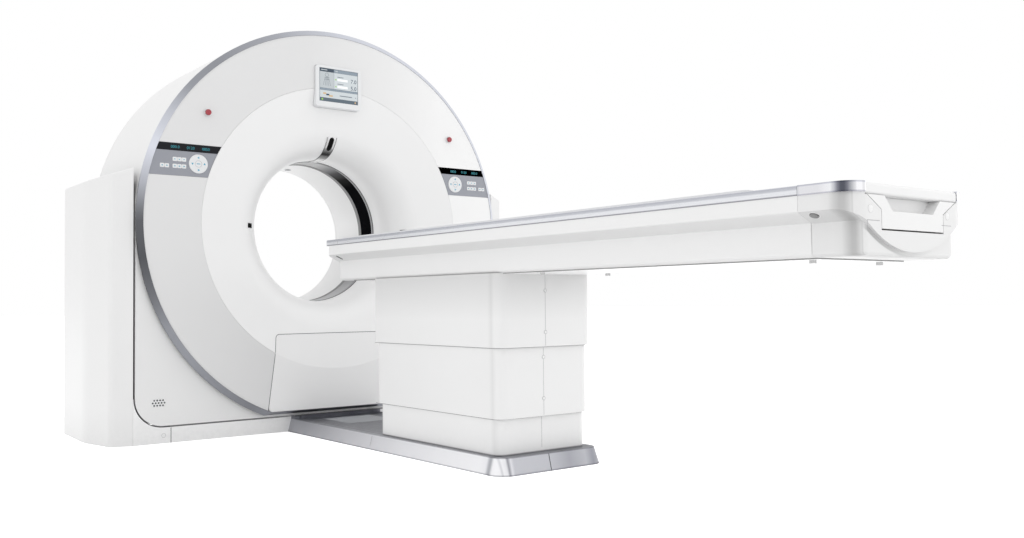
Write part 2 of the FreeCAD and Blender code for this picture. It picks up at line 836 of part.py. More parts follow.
def make_front_cover():
    """The lower casing: a tub with the front plate below and beside the round front."""
    body = new_body("front_cover", iso_height)
    top = s.split_rise - s.seam_gap
    sketch = sketch_on(body, "XZ_Plane", -casing_back)
    outline(sketch, [(-body_half, -body_drop, s.body_corner),
                     (body_half, -body_drop, s.body_corner),
                     (body_half, top), (-body_half, top)])
    pad(body, sketch, casing_back + s.body_front)
    inner_half = body_half - s.casing_wall
    inner_corner = s.body_corner - s.casing_wall
    hollow = sketch_on(body, "XZ_Plane", -casing_back)
    outline(hollow, [(-inner_half, -body_drop + s.casing_wall, inner_corner),
                     (inner_half, -body_drop + s.casing_wall, inner_corner),
                     (inner_half, top + s.casing_wall), (-inner_half, top + s.casing_wall)])
    pocket(body, hollow, casing_back + s.body_front - s.casing_wall, forward=True)
    face = sketch_on(body, "XZ_Plane", s.body_front)
    flat_disc(face, drum_radius - s.casing_wall * 2, rim_drop - s.rim_neck_wall)
    pocket(body, face, s.casing_wall * 2)
    cut_trunnion_holes(body)
    grille = sketch_on(body, "XZ_Plane", s.body_front)
    box_outline(grille, -grille_across - s.grille_wide / 2 - s.button_gap,
                -grille_across + s.grille_wide / 2 + s.button_gap,
                -grille_drop - s.grille_tall / 2 - s.button_gap,
                -grille_drop + s.grille_tall / 2 + s.button_gap, s.grille_round)
    pocket(body, grille, s.casing_wall * 2)
    return body


def make_speaker_grille():
    body = new_body("speaker_grille", iso_height)
    sketch = sketch_on(body, "XZ_Plane", s.body_front)
    box_outline(sketch, -grille_across - s.grille_wide / 2,
                -grille_across + s.grille_wide / 2,
                -grille_drop - s.grille_tall / 2, -grille_drop + s.grille_tall / 2,
                s.grille_round)
    pad(body, sketch, s.grille_thick, backward=True)
    holes = sketch_on(body, "XZ_Plane", s.body_front)
    for level, count in ((1, 4), (0, 5), (-1, 4)):
        for place in range(count):
            circle_on(holes, s.grille_hole,
                      -grille_across + s.grille_pitch * (place - (count - 1) / 2),
                      -grille_drop + s.grille_row * level)
    pocket(body, holes)
    return body


def make_rear_cover():
    body = new_body("rear_cover", iso_height)
    front = s.body_rear - s.rear_rim_depth
    sketch = sketch_on(body, "XZ_Plane", -s.body_rear)
    arched(sketch, drum_radius, body_half, -body_drop, s.body_corner)
    pad(body, sketch, s.rear_rim_depth)
    bore = sketch_on(body, "XZ_Plane")
    circle_on(bore, s.bore_radius)
    pocket(body, bore)
    hollow = sketch_on(body, "XZ_Plane", -front)
    arched(hollow, drum_radius - s.casing_wall, body_half - s.casing_wall,
           -body_drop + s.casing_wall, s.body_corner - s.casing_wall)
    circle_on(hollow, s.bore_radius + s.rear_bore_lip)
    pocket(body, hollow, s.rear_rim_depth - s.casing_wall)
    floor = float(s.body_rear - s.casing_wall)
    lip = float(s.bore_radius + s.rear_bore_lip) + 1
    fillet(body, lambda edge: abs(edge.BoundBox.YMin - floor) < 0.01
           and abs(edge.BoundBox.YMax - floor) < 0.01
           and max(abs(spot.Point.x) + abs(spot.Point.z) for spot in edge.Vertexes) > lip,
           s.rear_round - s.casing_wall)
    fillet(body, lambda edge: edge.BoundBox.YMin > float(s.body_rear) - 0.01, s.rear_round)
    return body


# ---------------------------------------------------------------- display, panels and buttons

def make_display_bezel():
    body = new_body("display_bezel", iso_height)
    front = fascia_front + s.display_depth - s.panel_depth
    depth = s.display_depth + s.skin_wall + (s.seam_radius - s.display_low) * cone_slope
    sketch = sketch_on(body, "XZ_Plane", front)
    box_outline(sketch, -s.display_half, s.display_half, s.display_low,
                s.display_low + s.display_tall, s.display_round)
    pad(body, sketch, depth, backward=True)
    fillet(body, lambda edge: edge.BoundBox.YMax < -float(front) + 0.01, s.panel_depth)
    screen = sketch_on(body, "XZ_Plane", front)
    box_outline(screen, -s.screen_half - s.button_gap, s.screen_half + s.button_gap,
                s.screen_low - s.button_gap, s.screen_low + s.screen_tall + s.button_gap)
    pocket(body, screen, s.screen_depth + s.seam_gap)
    hollow = sketch_on(body, "XZ_Plane", front - depth)
    box_outline(hollow, -s.display_half + s.casing_wall, s.display_half - s.casing_wall,
                s.display_low + s.casing_wall, s.display_low + s.display_tall - s.casing_wall)
    pocket(body, hollow, depth - s.screen_depth * 3, forward=True)
    return body


def make_display_glass():
    body = new_body("display_glass", iso_height)
    front = fascia_front + s.display_depth - s.panel_depth
    sketch = sketch_on(body, "XZ_Plane", front - s.seam_gap)
    box_outline(sketch, -s.screen_half, s.screen_half, s.screen_low,
                s.screen_low + s.screen_tall)
    pad(body, sketch, s.screen_depth, backward=True)
    return body


def make_control_panel(side, sign):
    """A flat panel between the cone's joint and the rim, with eight raised keys."""
    body = new_body(f"control_panel_{side}", iso_height)
    sketch = sketch_on(body, "XZ_Plane", fascia_front)
    ends = sorted((sign * s.rim_radius, sign * panel_inner))
    box_outline(sketch, ends[0], ends[1], panel_low, panel_low + s.panel_tall)
    pad(body, sketch, s.panel_depth, backward=True)
    for low, high in ((panel_inner - s.panel_tall, s.seam_radius + s.seam_gap),
                      (rim_inner - s.seam_gap * 2, s.rim_radius + s.panel_tall)):
        trim = sketch_on(body, "YZ_Plane")
        box_outline(trim, -fascia_front - s.panel_depth, -fascia_front + s.panel_depth * 2,
                    low, high)
        groove(body, trim)
    hole = sketch_on(body, "XZ_Plane")
    circle_on(hole, pad_radius + s.button_gap, sign * pad_across, s.pad_up)
    pocket(body, hole)
    keys = sketch_on(body, "XZ_Plane", fascia_front)
    rows = [(key_across + key_pitch * place, level)
            for level in (s.key_upper, s.key_lower) for place in (-1, 0, 1)]
    rows += [(key_outer + key_pitch * place, s.key_lower) for place in (-0.5, 0.5)]
    for across, up in rows:
        middle = sign * across
        box_outline(keys, middle - key_wide / 2, middle + key_wide / 2,
                    up - s.key_tall / 2, up + s.key_tall / 2)
    pad(body, keys, s.key_rise)
    return body


def make_jog_pad(side, sign):
    body = new_body(f"jog_pad_{side}", iso_height)
    front = fascia_front + s.pad_rise
    sketch = sketch_on(body, "XZ_Plane", front)
    circle_on(sketch, pad_radius, sign * pad_across, s.pad_up)
    pad(body, sketch, s.pad_rise + s.skin_wall, backward=True)
    fillet(body, lambda edge: edge.BoundBox.YMax < -float(front) + 0.01, s.pad_rise / 2)
    return body


def make_emergency_stop(side, sign):
    body = new_body(f"emergency_stop_{side}", iso_height)
    under = fascia_front + s.stop_collar_rise + s.stop_travel + s.button_gap
    cap = sketch_on(body, "XZ_Plane", under)
    circle_on(cap, s.stop_cap_radius, sign * stop_across, s.stop_up)
    pad(body, cap, s.stop_stem_radius)
    front = under + s.stop_stem_radius
    fillet(body, lambda edge: edge.BoundBox.YMax < -float(front) + 0.01, s.stop_travel)
    stem = sketch_on(body, "XZ_Plane", under + s.merge)
    circle_on(stem, s.stop_stem_radius, sign * stop_across, s.stop_up)
    pad(body, stem, under + s.merge - fascia_front + s.skin_wall + s.stop_travel, backward=True)
    return body


def laser_profile(sketch, place):
    """The funnel's bend, lifted off its surface, in a plane that holds the bore's axis."""
    near, far = s.laser_lift, s.laser_lift + s.laser_wall
    start = s.bore_radius + s.funnel_round
    start_depth = fascia_front - (s.seam_radius - start) * cone_slope
    end_depth = s.window_width / 2 + s.window_wall * 4
    outline(sketch, [
        place(start_depth + near, start),
        place(cone_corner + near * (1 - cone_slope), s.bore_radius - near)
        + (s.funnel_round + near,),
        place(end_depth, s.bore_radius - near),
        place(end_depth, s.bore_radius - far),
        place(cone_corner + far * (1 - cone_slope), s.bore_radius - far)
        + (s.funnel_round + far,),
        place(start_depth + far, start)])


def make_laser_strip():
    body = new_body("laser_strip", iso_height)
    sketch = sketch_on(body, "YZ_Plane")
    laser_profile(sketch, lambda depth, reach: (-depth, reach))
    revolve(body, sketch, angle=s.laser_angle, centred=True)
    trim = sketch_on(body, "YZ_Plane")
    box_outline(trim, -fascia_front, -s.window_width, s.laser_top, s.seam_radius)
    groove(body, trim)
    return body


def make_side_laser_windows():
    body = new_body("side_laser_windows", iso_height)
    for sign in (-1, 1):
        sketch = sketch_on(body, "XY_Plane")
        laser_profile(sketch, lambda depth, reach: (sign * reach, -depth))
        revolve(body, sketch, axis="V_Axis", angle=s.side_laser_angle, centred=True)
    half = s.side_laser_long / 2
    for low, high in ((s.side_laser_radius + half, s.seam_radius),
                      (s.bore_radius - s.side_laser_long, s.side_laser_radius - half)):
        trim = sketch_on(body, "XY_Plane")
        box_outline(trim, low, high, -fascia_front, -s.window_width / 2)
        groove(body, trim, axis="V_Axis")
    return body


# ---------------------------------------------------------------- stationary ring and rotor

plate_back = s.rotor_half + s.rotor_plate
stator_front = plate_back + s.race_width + s.race_offset
stator_back = stator_front + s.stator_thick


def ring_body(name, inner, outer, front, back):
    """A plain ring about the bore's axis, between two distances behind the scan plane."""
    body = new_body(name, iso_height)
    sketch = sketch_on(body, "YZ_Plane")
    box_outline(sketch, front, back, inner, outer)
    revolve(body, sketch)
    return body


def block_on_plate(name, low_x, high_x, low_z, high_z, front):
    """A box that stands on the front face of the rotor's plate and reaches forward."""
    body = new_body(name, iso_height)
    sketch = sketch_on(body, "XZ_Plane", -s.rotor_half)
    box_outline(sketch, low_x, high_x, low_z, high_z, s.block_round)
    pad(body, sketch, s.rotor_half + front)
    return body


def make_stator_frame():
    body = new_body("stator_frame", iso_height)
    sketch = sketch_on(body, "XZ_Plane", -stator_back)
    flat_disc(sketch, stator_outer, stator_drop)
    circle_on(sketch, stator_inner)
    pad(body, sketch, s.stator_thick)
    arms = sketch_on(body, "XZ_Plane", -stator_back)
    for sign in (-1, 1):
        ends = sorted((sign * arm_inner, sign * (arm_inner + s.arm_thick)))
        box_outline(arms, ends[0], ends[1], -s.arm_half, s.arm_half)
    pad(body, arms, stator_back + s.arm_front)
    for sign in (-1, 1):
        stub = sketch_on(body, "YZ_Plane", sign * (arm_inner + s.arm_thick / 2))
        circle_on(stub, s.trunnion_radius)
        pad(body, stub, trunnion_end - arm_inner - s.arm_thick / 2, backward=sign < 0)
    return body


def make_rotor_drum():
    """A cup: the plate carries the scanning parts, the wall runs round them."""
    body = new_body("rotor_drum", iso_height)
    sketch = sketch_on(body, "YZ_Plane")
    outline(sketch, [(-s.rotor_half, rotor_outer), (-s.rotor_half, rotor_outer - s.rotor_wall),
                     (s.rotor_half, rotor_outer - s.rotor_wall), (s.rotor_half, rotor_inner),
                     (plate_back, rotor_inner), (plate_back, rotor_outer)])
    revolve(body, sketch)
    return body


def make_brush_block():
    body = new_body("brush_block", iso_height)
    sketch = sketch_on(body, "XZ_Plane", -stator_front)
    box_outline(sketch, -s.brush_wide / 2, s.brush_wide / 2, -s.slip_outer, -s.slip_inner)
    pad(body, sketch, stator_front - plate_back - s.slip_thick - s.brush_gap)
    return body


def make_xray_tube():
    body = new_body("xray_tube", iso_height)
    sketch = sketch_on(body, "XZ_Plane", -s.rotor_half)
    circle_on(sketch, s.tube_radius, 0, tube_across)
    pad(body, sketch, s.rotor_half + s.tube_front)
    fillet(body, lambda edge: edge.BoundBox.YMax < -float(s.tube_front) + 0.01, s.tube_radius / 4)
    return body


def make_detector_arc():
    """A curved detector whose every cell faces the tube's focus."""
    body = new_body("detector_arc", iso_height + focus_up)
    sketch = sketch_on(body, "YZ_Plane")
    box_outline(sketch, -s.detector_depth, s.rotor_half,
                -detector_reach - s.detector_thick, -detector_reach)
    revolve(body, sketch, angle=s.detector_angle * 2, centred=True)
    return body


def make_heat_exchanger():
    body = block_on_plate("heat_exchanger", exchanger_inner,
                          exchanger_inner + s.exchanger_long, -s.exchanger_half,
                          s.exchanger_half, s.tube_front)
    slot = sketch_on(body, "XZ_Plane", s.tube_front)
    box_outline(slot, exchanger_inner + s.fin_pitch / 2,
                exchanger_inner + s.fin_pitch / 2 + s.fin_slot,
                -s.exchanger_half - s.overcut, s.exchanger_half + s.overcut)
    cut = pocket(body, slot, s.fin_depth)
    count = int(s.exchanger_long / s.fin_pitch)
    spread(body, cut, "X_Axis", s.fin_pitch * (count - 1), count)
    return body


# ---------------------------------------------------------------- frame on the floor and pillars

def make_base_frame():
    body = new_body("base_frame")
    plate = sketch_on(body, "XY_Plane")
    box_outline(plate, -plate_half, plate_half,
                -s.body_front + s.skirt_thick + s.laser_lift, s.plate_rear)
    pad(body, plate, s.floor_plate)
    soles = sketch_on(body, "XY_Plane")
    uprights = sketch_on(body, "XY_Plane")
    for sign in (-1, 1):
        ends = sorted((sign * (plate_half - s.sole_tall), sign * (sole_inner + s.sole_wide)))
        box_outline(soles, ends[0], ends[1], -s.sole_front,
                    s.sole_rear)
        ends = sorted((sign * upright_inner, sign * (upright_inner + s.upright_thick)))
        box_outline(uprights, ends[0], ends[1], -s.upright_half, s.upright_half)
    pad(body, soles, s.floor_plate)
    beams = sketch_on(body, "XY_Plane")
    for sign in (-1, 1):
        ends = sorted((sign * sole_inner, sign * (sole_inner + s.sole_wide)))
        box_outline(beams, ends[0], ends[1], -s.sole_front,
                    s.sole_rear)
    pad(body, beams, s.sole_tall)
    pad(body, uprights, upright_height)
    bores = sketch_on(body, "YZ_Plane")
    circle_on(bores, s.trunnion_radius + s.trunnion_gap * 2 + s.bearing_wall, 0, iso_height)
    pocket(body, bores)
    anchors = sketch_on(body, "XY_Plane")
    for across in (-anchor_across, anchor_across):
        for along in (-s.anchor_along / 2 - s.upright_half / 2,
                      s.anchor_along / 2 + s.upright_half / 2):
            circle_on(anchors, s.anchor_radius, across, along)
    pocket(body, anchors)
    return body


def make_trunnion_bearings():
    body = new_body("trunnion_bearings", iso_height)
    inner = s.trunnion_radius + s.trunnion_gap
    for sign in (-1, 1):
        sketch = sketch_on(body, "YZ_Plane", sign * upright_inner)
        circle_on(sketch, inner + s.bearing_wall)
        circle_on(sketch, inner)
        pad(body, sketch, s.upright_thick, backward=sign < 0)
    return body


def make_tilt_gearmotor():
    """A flat gear case on the right upright, its motor reaching in behind the upright."""
    body = new_body("tilt_gearmotor", iso_height)
    face = upright_inner + s.upright_thick
    radius = s.gearbox_radius
    far = s.motor_along + s.motor_radius + s.motor_flange
    high = -s.motor_drop + s.motor_radius + s.motor_flange
    low = -s.motor_drop - s.motor_radius - s.motor_flange
    case = sketch_on(body, "YZ_Plane", face)
    outline(case, [(-radius, low, s.gearbox_round), (far, low, s.gearbox_round),
                   (far, high, s.gearbox_round), (radius, high, s.gearbox_round),
                   (radius, radius, radius / 2), (-radius, radius, radius / 2)])
    pad(body, case, s.gearbox_thick)
    bore = sketch_on(body, "YZ_Plane", face)
    circle_on(bore, s.trunnion_radius + s.trunnion_gap)
    pocket(body, bore, trunnion_end - face + s.trunnion_gap, forward=True)
    motor = sketch_on(body, "YZ_Plane", face)
    circle_on(motor, s.motor_radius, s.motor_along, -s.motor_drop)
    pad(body, motor, s.motor_long, backward=True)
    return body


def make_side_cover(side, sign):
    """A pillar cover, open underneath and towards the gantry."""
    body = new_body(f"side_cover_{side}")

    def plan(edge, inset):
        shape = [(edge, -s.pillar_front + inset),
                 (pillar_outer - s.pillar_bevel - inset, -s.pillar_cheek + inset,
                  s.pillar_bevel_round - inset),
                 (pillar_outer - inset, -s.pillar_widest, s.pillar_front - inset),
                 (pillar_outer - s.pillar_taper - inset, s.pillar_rear - inset,
                  s.pillar_round - inset),
                 (edge, s.pillar_rear - inset)]
        return mirrored(shape, sign)

    sketch = sketch_on(body, "XY_Plane")
    outline(sketch, plan(pillar_inner, 0))
    pad(body, sketch, pillar_height)
    slant = sketch_on(body, "XZ_Plane")
    past = pillar_outer + s.overcut
    above = pillar_height + s.overcut
    outline(slant, mirrored([(pillar_inner, pillar_height), (pillar_outer, pillar_shoulder),
                             (past, pillar_shoulder), (past, above), (pillar_inner, above)], sign))
    pocket(body, slant)
    low = float(pillar_shoulder) - 1
    seam = float(pillar_inner) + 1
    fillet(body, lambda edge: edge.BoundBox.ZMin > low
           and max(abs(edge.BoundBox.XMin), abs(edge.BoundBox.XMax)) > seam,
           s.pillar_top_round)
    hollow = sketch_on(body, "XY_Plane")
    outline(hollow, plan(pillar_inner - s.pillar_wall, s.pillar_wall))
    pocket(body, hollow, pillar_shoulder - s.pillar_wall * 2, forward=True)
    return body


def make_front_skirt():
    """Panels in a row under the casing, slanted on top, with fillers round its lower corners."""
    body = new_body("front_skirt")
    sketch = sketch_on(body, "YZ_Plane")
    outline(sketch, [(-s.body_front, 0), (-s.body_front + s.skirt_thick, 0),
                     (-s.body_front + s.skirt_thick, skirt_height - s.skirt_back_drop),
                     (-s.body_front, skirt_height)])
    pad(body, sketch, pillar_inner * 2 - s.seam_gap * 2, midplane=True)
    corners = sketch_on(body, "XZ_Plane", s.body_front)
    bend = s.body_corner + s.skirt_room
    side = body_half + s.skirt_room
    end = pillar_inner - s.seam_gap
    low = skirt_height - s.skirt_back_drop * 2
    for sign in (-1, 1):
        outline(corners, mirrored([
            (side - bend - s.merge, low), (end, low), (end, skirt_height + bend + s.merge),
            (side, skirt_height + bend + s.merge), (side, skirt_height, bend),
            (side - bend - s.merge, skirt_height)], sign))
    pad(body, corners, s.skirt_thick, backward=True)
    joints = sketch_on(body, "XY_Plane")
    for sign in (-1, 1):
        box_outline(joints, sign * skirt_joint - s.seam_gap / 2,
                    sign * skirt_joint + s.seam_gap / 2,
                    -s.body_front - s.overcut, -s.body_front + s.skirt_thick + s.overcut)
    pocket(body, joints)
    return body


# ---------------------------------------------------------------- body of the patient table

groove_slope = (s.groove_drop - s.band_tall) / (s.band_half - s.groove_half)
frame_low = -s.box_drop + s.frame_lift
guide_top = -s.carriage_drop - s.slide_gap


def make_long_cover(side, sign):
    """The table's side: upright band, slanted groove and box wall in one thin shell."""
    body = new_body(f"table_cover_{side}", s.table_height)
    wall = s.cover_wall
    edge = s.under_half + s.seam_gap
    sketch = sketch_on(body, "XZ_Plane", s.head_seam + s.seam_gap)
    outline(sketch, mirrored([
        (s.band_half - wall, 0), (s.band_half, 0),
        (s.band_half, -s.band_tall, wall * 1.5), (s.groove_half, -s.groove_drop, wall),
        (s.box_half, -s.box_drop, s.box_round), (edge, -s.box_drop),
        (edge, -s.box_drop + wall),
        (s.box_half - wall, -s.box_drop + wall, s.box_round - wall),
        (s.groove_half - wall, -s.groove_drop + wall * groove_slope),
        (s.band_half - wall, -s.band_tall + wall * groove_slope)], sign))
    pad(body, sketch, foot_seam - s.head_seam - s.seam_gap * 2)
    return body


def cut_under_smile(body):
    """Trim the underside to two slopes with a wide arc between them, right along the block."""
    reach = s.band_half + s.foot_corner
    sketch = sketch_on(body, "XZ_Plane")
    edge_drop = s.band_tall - (reach - s.band_half) * groove_slope
    outline(sketch, [(-reach, -edge_drop), (-s.groove_half, -s.groove_drop),
                     (0, -s.smile_drop, s.smile_radius), (s.groove_half, -s.groove_drop),
                     (reach, -edge_drop), (reach, -s.box_drop * 2), (-reach, -s.box_drop * 2)])
    pocket(body, sketch)


def end_block(name, start, end, corner, face, face_corner):
    """An end piece of the table: the band's block above the arc, the box's block below it."""
    body = new_body(name, s.table_height)
    upper = sketch_on(body, "XY_Plane")
    outline(upper, [(-s.band_half, -start), (s.band_half, -start),
                    (s.band_half, -end, corner), (-s.band_half, -end, corner)])
    pad(body, upper, s.box_drop, backward=True)
    cut_under_smile(body)
    lower = sketch_on(body, "XY_Plane", -s.box_drop)
    outline(lower, [(-s.box_half, -start), (s.box_half, -start),
                    (s.box_half, -face, face_corner), (-s.box_half, -face, face_corner)])
    pad(body, lower, s.box_drop - s.groove_drop + s.cover_wall)
    low, seam = -float(s.box_drop) + 0.01, -float(start)

    def at_foot(edge):
        box = edge.BoundBox
        return box.ZMax < low and max(abs(box.YMin - seam), abs(box.YMax - seam)) > 1

    fillet(body, at_foot, s.box_round)
    return body


def on_groove(body):
    """A sketch on the left groove, facing out of it, centred on the release knob."""
    sketch = sketch_on(body, "XY_Plane")
    slant = math.degrees(math.atan(groove_slope))
    sketch.AttachmentOffset = FreeCAD.Placement(
        FreeCAD.Vector(), FreeCAD.Rotation(FreeCAD.Vector(0, 1, 0), 180 + slant))
    up = -s.band_tall - (s.band_half - s.knob_across) * groove_slope
    for axis, place in (("x", -s.knob_across), ("y", -knob_reach), ("z", up)):
        sketch.setExpression(f".AttachmentOffset.Base.{axis}", place.formula)
    return sketch


def make_foot_cover():
    body = end_block("foot_cover", foot_seam, s.foot_reach, s.foot_corner,
                     s.foot_reach - s.box_setback, s.box_corner)
    channel = sketch_on(body, "XZ_Plane")
    side = s.carriage_half + s.channel_gap
    flare = s.flare_half + s.channel_gap
    low = -s.carriage_drop - s.channel_gap * 2
    shoulder = -s.deck_drop - s.channel_gap / 2
    half = [(s.rail_inner, s.overcut), (s.rail_inner, shoulder), (flare, shoulder),
            (side, -s.flare_drop - s.channel_gap / 2), (side, low)]
    outline(channel, half + mirrored(half[::-1], -1))
    pocket(body, channel)
    hollow = sketch_on(body, "XZ_Plane", foot_seam)
    box_outline(hollow, -s.box_half + s.cover_wall * 2, s.box_half - s.cover_wall * 2,
                -s.box_drop + s.cover_wall, low - s.cover_wall)
    pocket(body, hollow, s.foot_reach - foot_seam - s.box_setback - s.box_round * 2,
           forward=True)
    recess = on_groove(body)
    circle_on(recess, s.knob_radius + s.button_gap)
    pocket(body, recess, s.knob_deep)
    return body


def make_release_knob():
    body = new_body("release_knob", s.table_height)
    sketch = on_groove(body)
    circle_on(sketch, s.knob_radius)
    pad(body, sketch, s.knob_rise)
    root = on_groove(body)
    circle_on(root, s.knob_radius)
    pad(body, root, s.knob_deep - s.knob_travel - s.button_gap, backward=True)
    return body


def make_head_cover():
    body = end_block("head_cover", s.head_seam, s.head_reach, s.head_corner,
                     s.head_reach + s.head_setback, s.head_box_corner)
    slant = sketch_on(body, "YZ_Plane")
    top = s.head_reach + s.head_setback
    out = s.head_reach - s.overcut
    outline(slant, [(-top, -s.groove_drop - s.cover_wall), (-top - s.head_slant, -s.box_drop),
                    (-top - s.head_slant, -s.box_drop - s.overcut),
                    (-out, -s.box_drop - s.overcut), (-out, -s.groove_drop - s.cover_wall)])
    shape = pocket(body, slant, s.box_half + s.overcut)
    shape.SideType = "Symmetric"
    hollow = sketch_on(body, "XZ_Plane", s.head_seam)
    box_outline(hollow, -s.pad_half, s.pad_half, -s.box_drop + s.frame_lift * 2,
                -s.cover_wall * 2)
    pocket(body, hollow, s.head_seam - top - s.head_slant - s.cover_wall)
    glide = sketch_on(body, "XY_Plane")
    box_outline(glide, -s.pad_half, s.pad_half, -s.head_seam, -s.head_reach - s.head_corner)
    pad(body, glide, s.pad_tall)
    return body


def lift_plan(sketch, inset):
    half = s.lift_long / 2 - inset
    box_outline(sketch, -s.lift_half + inset, s.lift_half - inset,
                -s.lift_centre - half, -s.lift_centre + half)


def make_table_frame():
    """Trough-shaped beam with guide ribs inside, and the lift's moving tube under it."""
    body = new_body("table_frame", s.table_height)
    sketch = sketch_on(body, "XZ_Plane", s.head_seam + s.laser_lift)
    web_outer = s.web_inner + s.web_thick
    shelf_low = -s.shelf_drop - s.shelf_thick
    guide_outer = s.guide_inner + s.guide_wide
    floor = frame_low + s.frame_plate
    half = [(s.frame_half, frame_low), (s.frame_half, floor), (web_outer, floor),
            (web_outer, shelf_low), (s.shelf_half, shelf_low), (s.shelf_half, 0),
            (s.rib_inner, 0), (s.rib_inner, -s.shelf_drop), (s.web_inner, -s.shelf_drop),
            (s.web_inner, floor), (guide_outer, floor), (guide_outer, guide_top),
            (s.guide_inner, guide_top), (s.guide_inner, floor)]
    outline(sketch, half + mirrored(half[::-1], -1))
    pad(body, sketch, foot_seam - s.head_seam - s.laser_lift * 2)
    tube_low = s.lift_inner_low - s.table_height
    inset = (s.lift_wall + s.slide_gap) * 2
    tube = sketch_on(body, "XY_Plane", tube_low)
    lift_plan(tube, inset)
    pad(body, tube, frame_low - tube_low)
    hollow = sketch_on(body, "XY_Plane", tube_low)
    lift_plan(hollow, inset + s.lift_wall)
    pocket(body, hollow, frame_low - tube_low, forward=True)
    return body


def make_lift_tube(name, level, low, tall):
    body = new_body(name)
    inset = (s.lift_wall + s.slide_gap) * level
    sketch = sketch_on(body, "XY_Plane", low)
    lift_plan(sketch, inset)
    lift_plan(sketch, inset + s.lift_wall)
    pad(body, sketch, tall)
    return body


def make_under_plate():
    body = new_body("under_plate", s.table_height)
    sketch = sketch_on(body, "XY_Plane", -s.box_drop)
    box_outline(sketch, -s.under_half, s.under_half, -foot_seam + s.seam_gap,
                -s.head_seam - s.seam_gap)
    lift_plan(sketch, (s.lift_wall + s.slide_gap) * 2 - s.cover_wall)
    pad(body, sketch, s.under_thick)
    return body


def make_rail(side, sign):
    body = new_body(f"rail_{side}", s.table_height)
    sketch = sketch_on(body, "XZ_Plane", s.head_reach)
    outline(sketch, [(sign * s.rail_inner, 0), (sign * s.rail_outer, 0, s.rail_round / 2),
                     (sign * s.rail_outer, s.rail_tall, s.rail_round),
                     (sign * s.rail_inner, s.rail_tall, s.rail_round / 2)])
    pad(body, sketch, foot_seam - s.head_reach - s.seam_gap)
    return body


def make_corner_trims():
    """Polished ends of the rails, wrapped round the foot's corners."""
    body = new_body("corner_trims", s.table_height)
    sketch = sketch_on(body, "XY_Plane")
    over = s.rail_outer - s.band_half
    for sign in (-1, 1):
        outline(sketch, mirrored([
            (s.rail_inner, -foot_seam), (s.rail_outer, -foot_seam),
            (s.rail_outer, -s.foot_reach - over, s.rail_outer - s.rail_inner - over),
            (s.rail_inner, -s.foot_reach - over)], sign))
    pad(body, sketch, s.rail_tall)
    return body


# ---------------------------------------------------------------- sliding top

def make_cradle():
    """The dished top that slides into the bore, with rounded corners."""
    body = new_body("cradle", s.table_height)
    plan = sketch_on(body, "XY_Plane", s.cradle_low)
    box_outline(plan, -s.cradle_half, s.cradle_half, -cradle_foot, -s.head_reach,
                s.cradle_round)
    pad(body, plan, s.cradle_tall)
    dish = sketch_on(body, "XZ_Plane")
    top = s.cradle_low + s.cradle_tall
    half = s.cradle_half - s.cradle_wall
    outline(dish, [(-half, top + s.overcut), (-half, top),
                   (0, top - s.cradle_dish * 2, s.dish_radius),
                   (half, top), (half, top + s.overcut)])
    pocket(body, dish)
    return body


def make_carriage():
    """Carries the top's foot end; its lower part runs on the frame's guide ribs."""
    body = new_body("carriage", s.table_height)
    deck_front = s.foot_reach - s.end_cover_thick - s.seam_gap
    deck = sketch_on(body, "XZ_Plane", cradle_foot + s.seam_gap)
    half = [(s.carriage_half, -s.carriage_drop), (s.carriage_half, -s.flare_drop),
            (s.flare_half, -s.deck_drop), (s.deck_half, -s.deck_drop),
            (s.deck_half, s.deck_rise, s.cover_wall)]
    outline(deck, half + mirrored(half[::-1], -1))
    pad(body, deck, deck_front - cradle_foot - s.seam_gap)
    tongue = sketch_on(body, "XZ_Plane", tongue_end)
    half = [(s.carriage_half, -s.carriage_drop), (s.carriage_half, -s.flare_drop),
            (s.tongue_half, s.cradle_low)]
    outline(tongue, half + mirrored(half[::-1], -1))
    pad(body, tongue, cradle_foot + s.seam_gap * 2 - tongue_end)
    hollow = sketch_on(body, "XZ_Plane")
    box_outline(hollow, -s.guide_inner + s.carriage_wall, s.guide_inner - s.carriage_wall,
                -s.carriage_drop - s.overcut, -s.carriage_wall)
    pocket(body, hollow)
    return body


def make_carriage_end_cover():
    """The foot end's panel with a hand grip let into its upper edge."""
    body = new_body("carriage_end_cover", s.table_height)
    sketch = sketch_on(body, "XZ_Plane", s.foot_reach)
    half = [(s.carriage_half, -s.carriage_drop), (s.carriage_half, -s.flare_drop),
            (s.flare_half, -s.deck_drop)]
    outline(sketch, half + mirrored(half[::-1], -1))
    pad(body, sketch, s.end_cover_thick, backward=True)
    grip = sketch_on(body, "XZ_Plane", s.foot_reach)
    outline(grip, [(-s.grip_half, 0),
                   (-s.grip_lower_half, -s.deck_drop - s.grip_tall, s.grip_round),
                   (s.grip_lower_half, -s.deck_drop - s.grip_tall, s.grip_round),
                   (s.grip_half, 0)])
    pocket(body, grip, s.grip_depth)
    return body


def make_push_handle():
    body = new_body("push_handle", s.table_height)
    sketch = sketch_on(body, "YZ_Plane")
    low = -s.deck_drop + s.laser_lift
    back = -s.foot_reach + s.end_cover_thick
    outline(sketch, [(-s.foot_reach, low, s.handle_round), (back, low), (back, s.deck_rise),
                     (-s.foot_reach, s.deck_rise, s.handle_round)])
    pad(body, sketch, s.handle_half * 2, midplane=True)
    return body


# ---------------------------------------------------------------- lift column and base

def column_plan(sketch, level, inset=0):
    """The column's rounded outline, one step smaller for each level further down."""
    half = s.column_half - s.step_side * level - inset
    front = -s.column_front + s.step_foot * level + inset
    rear = -s.column_rear - s.step_head * level - inset
    box_outline(sketch, -half, half, front, rear, s.column_round - inset)


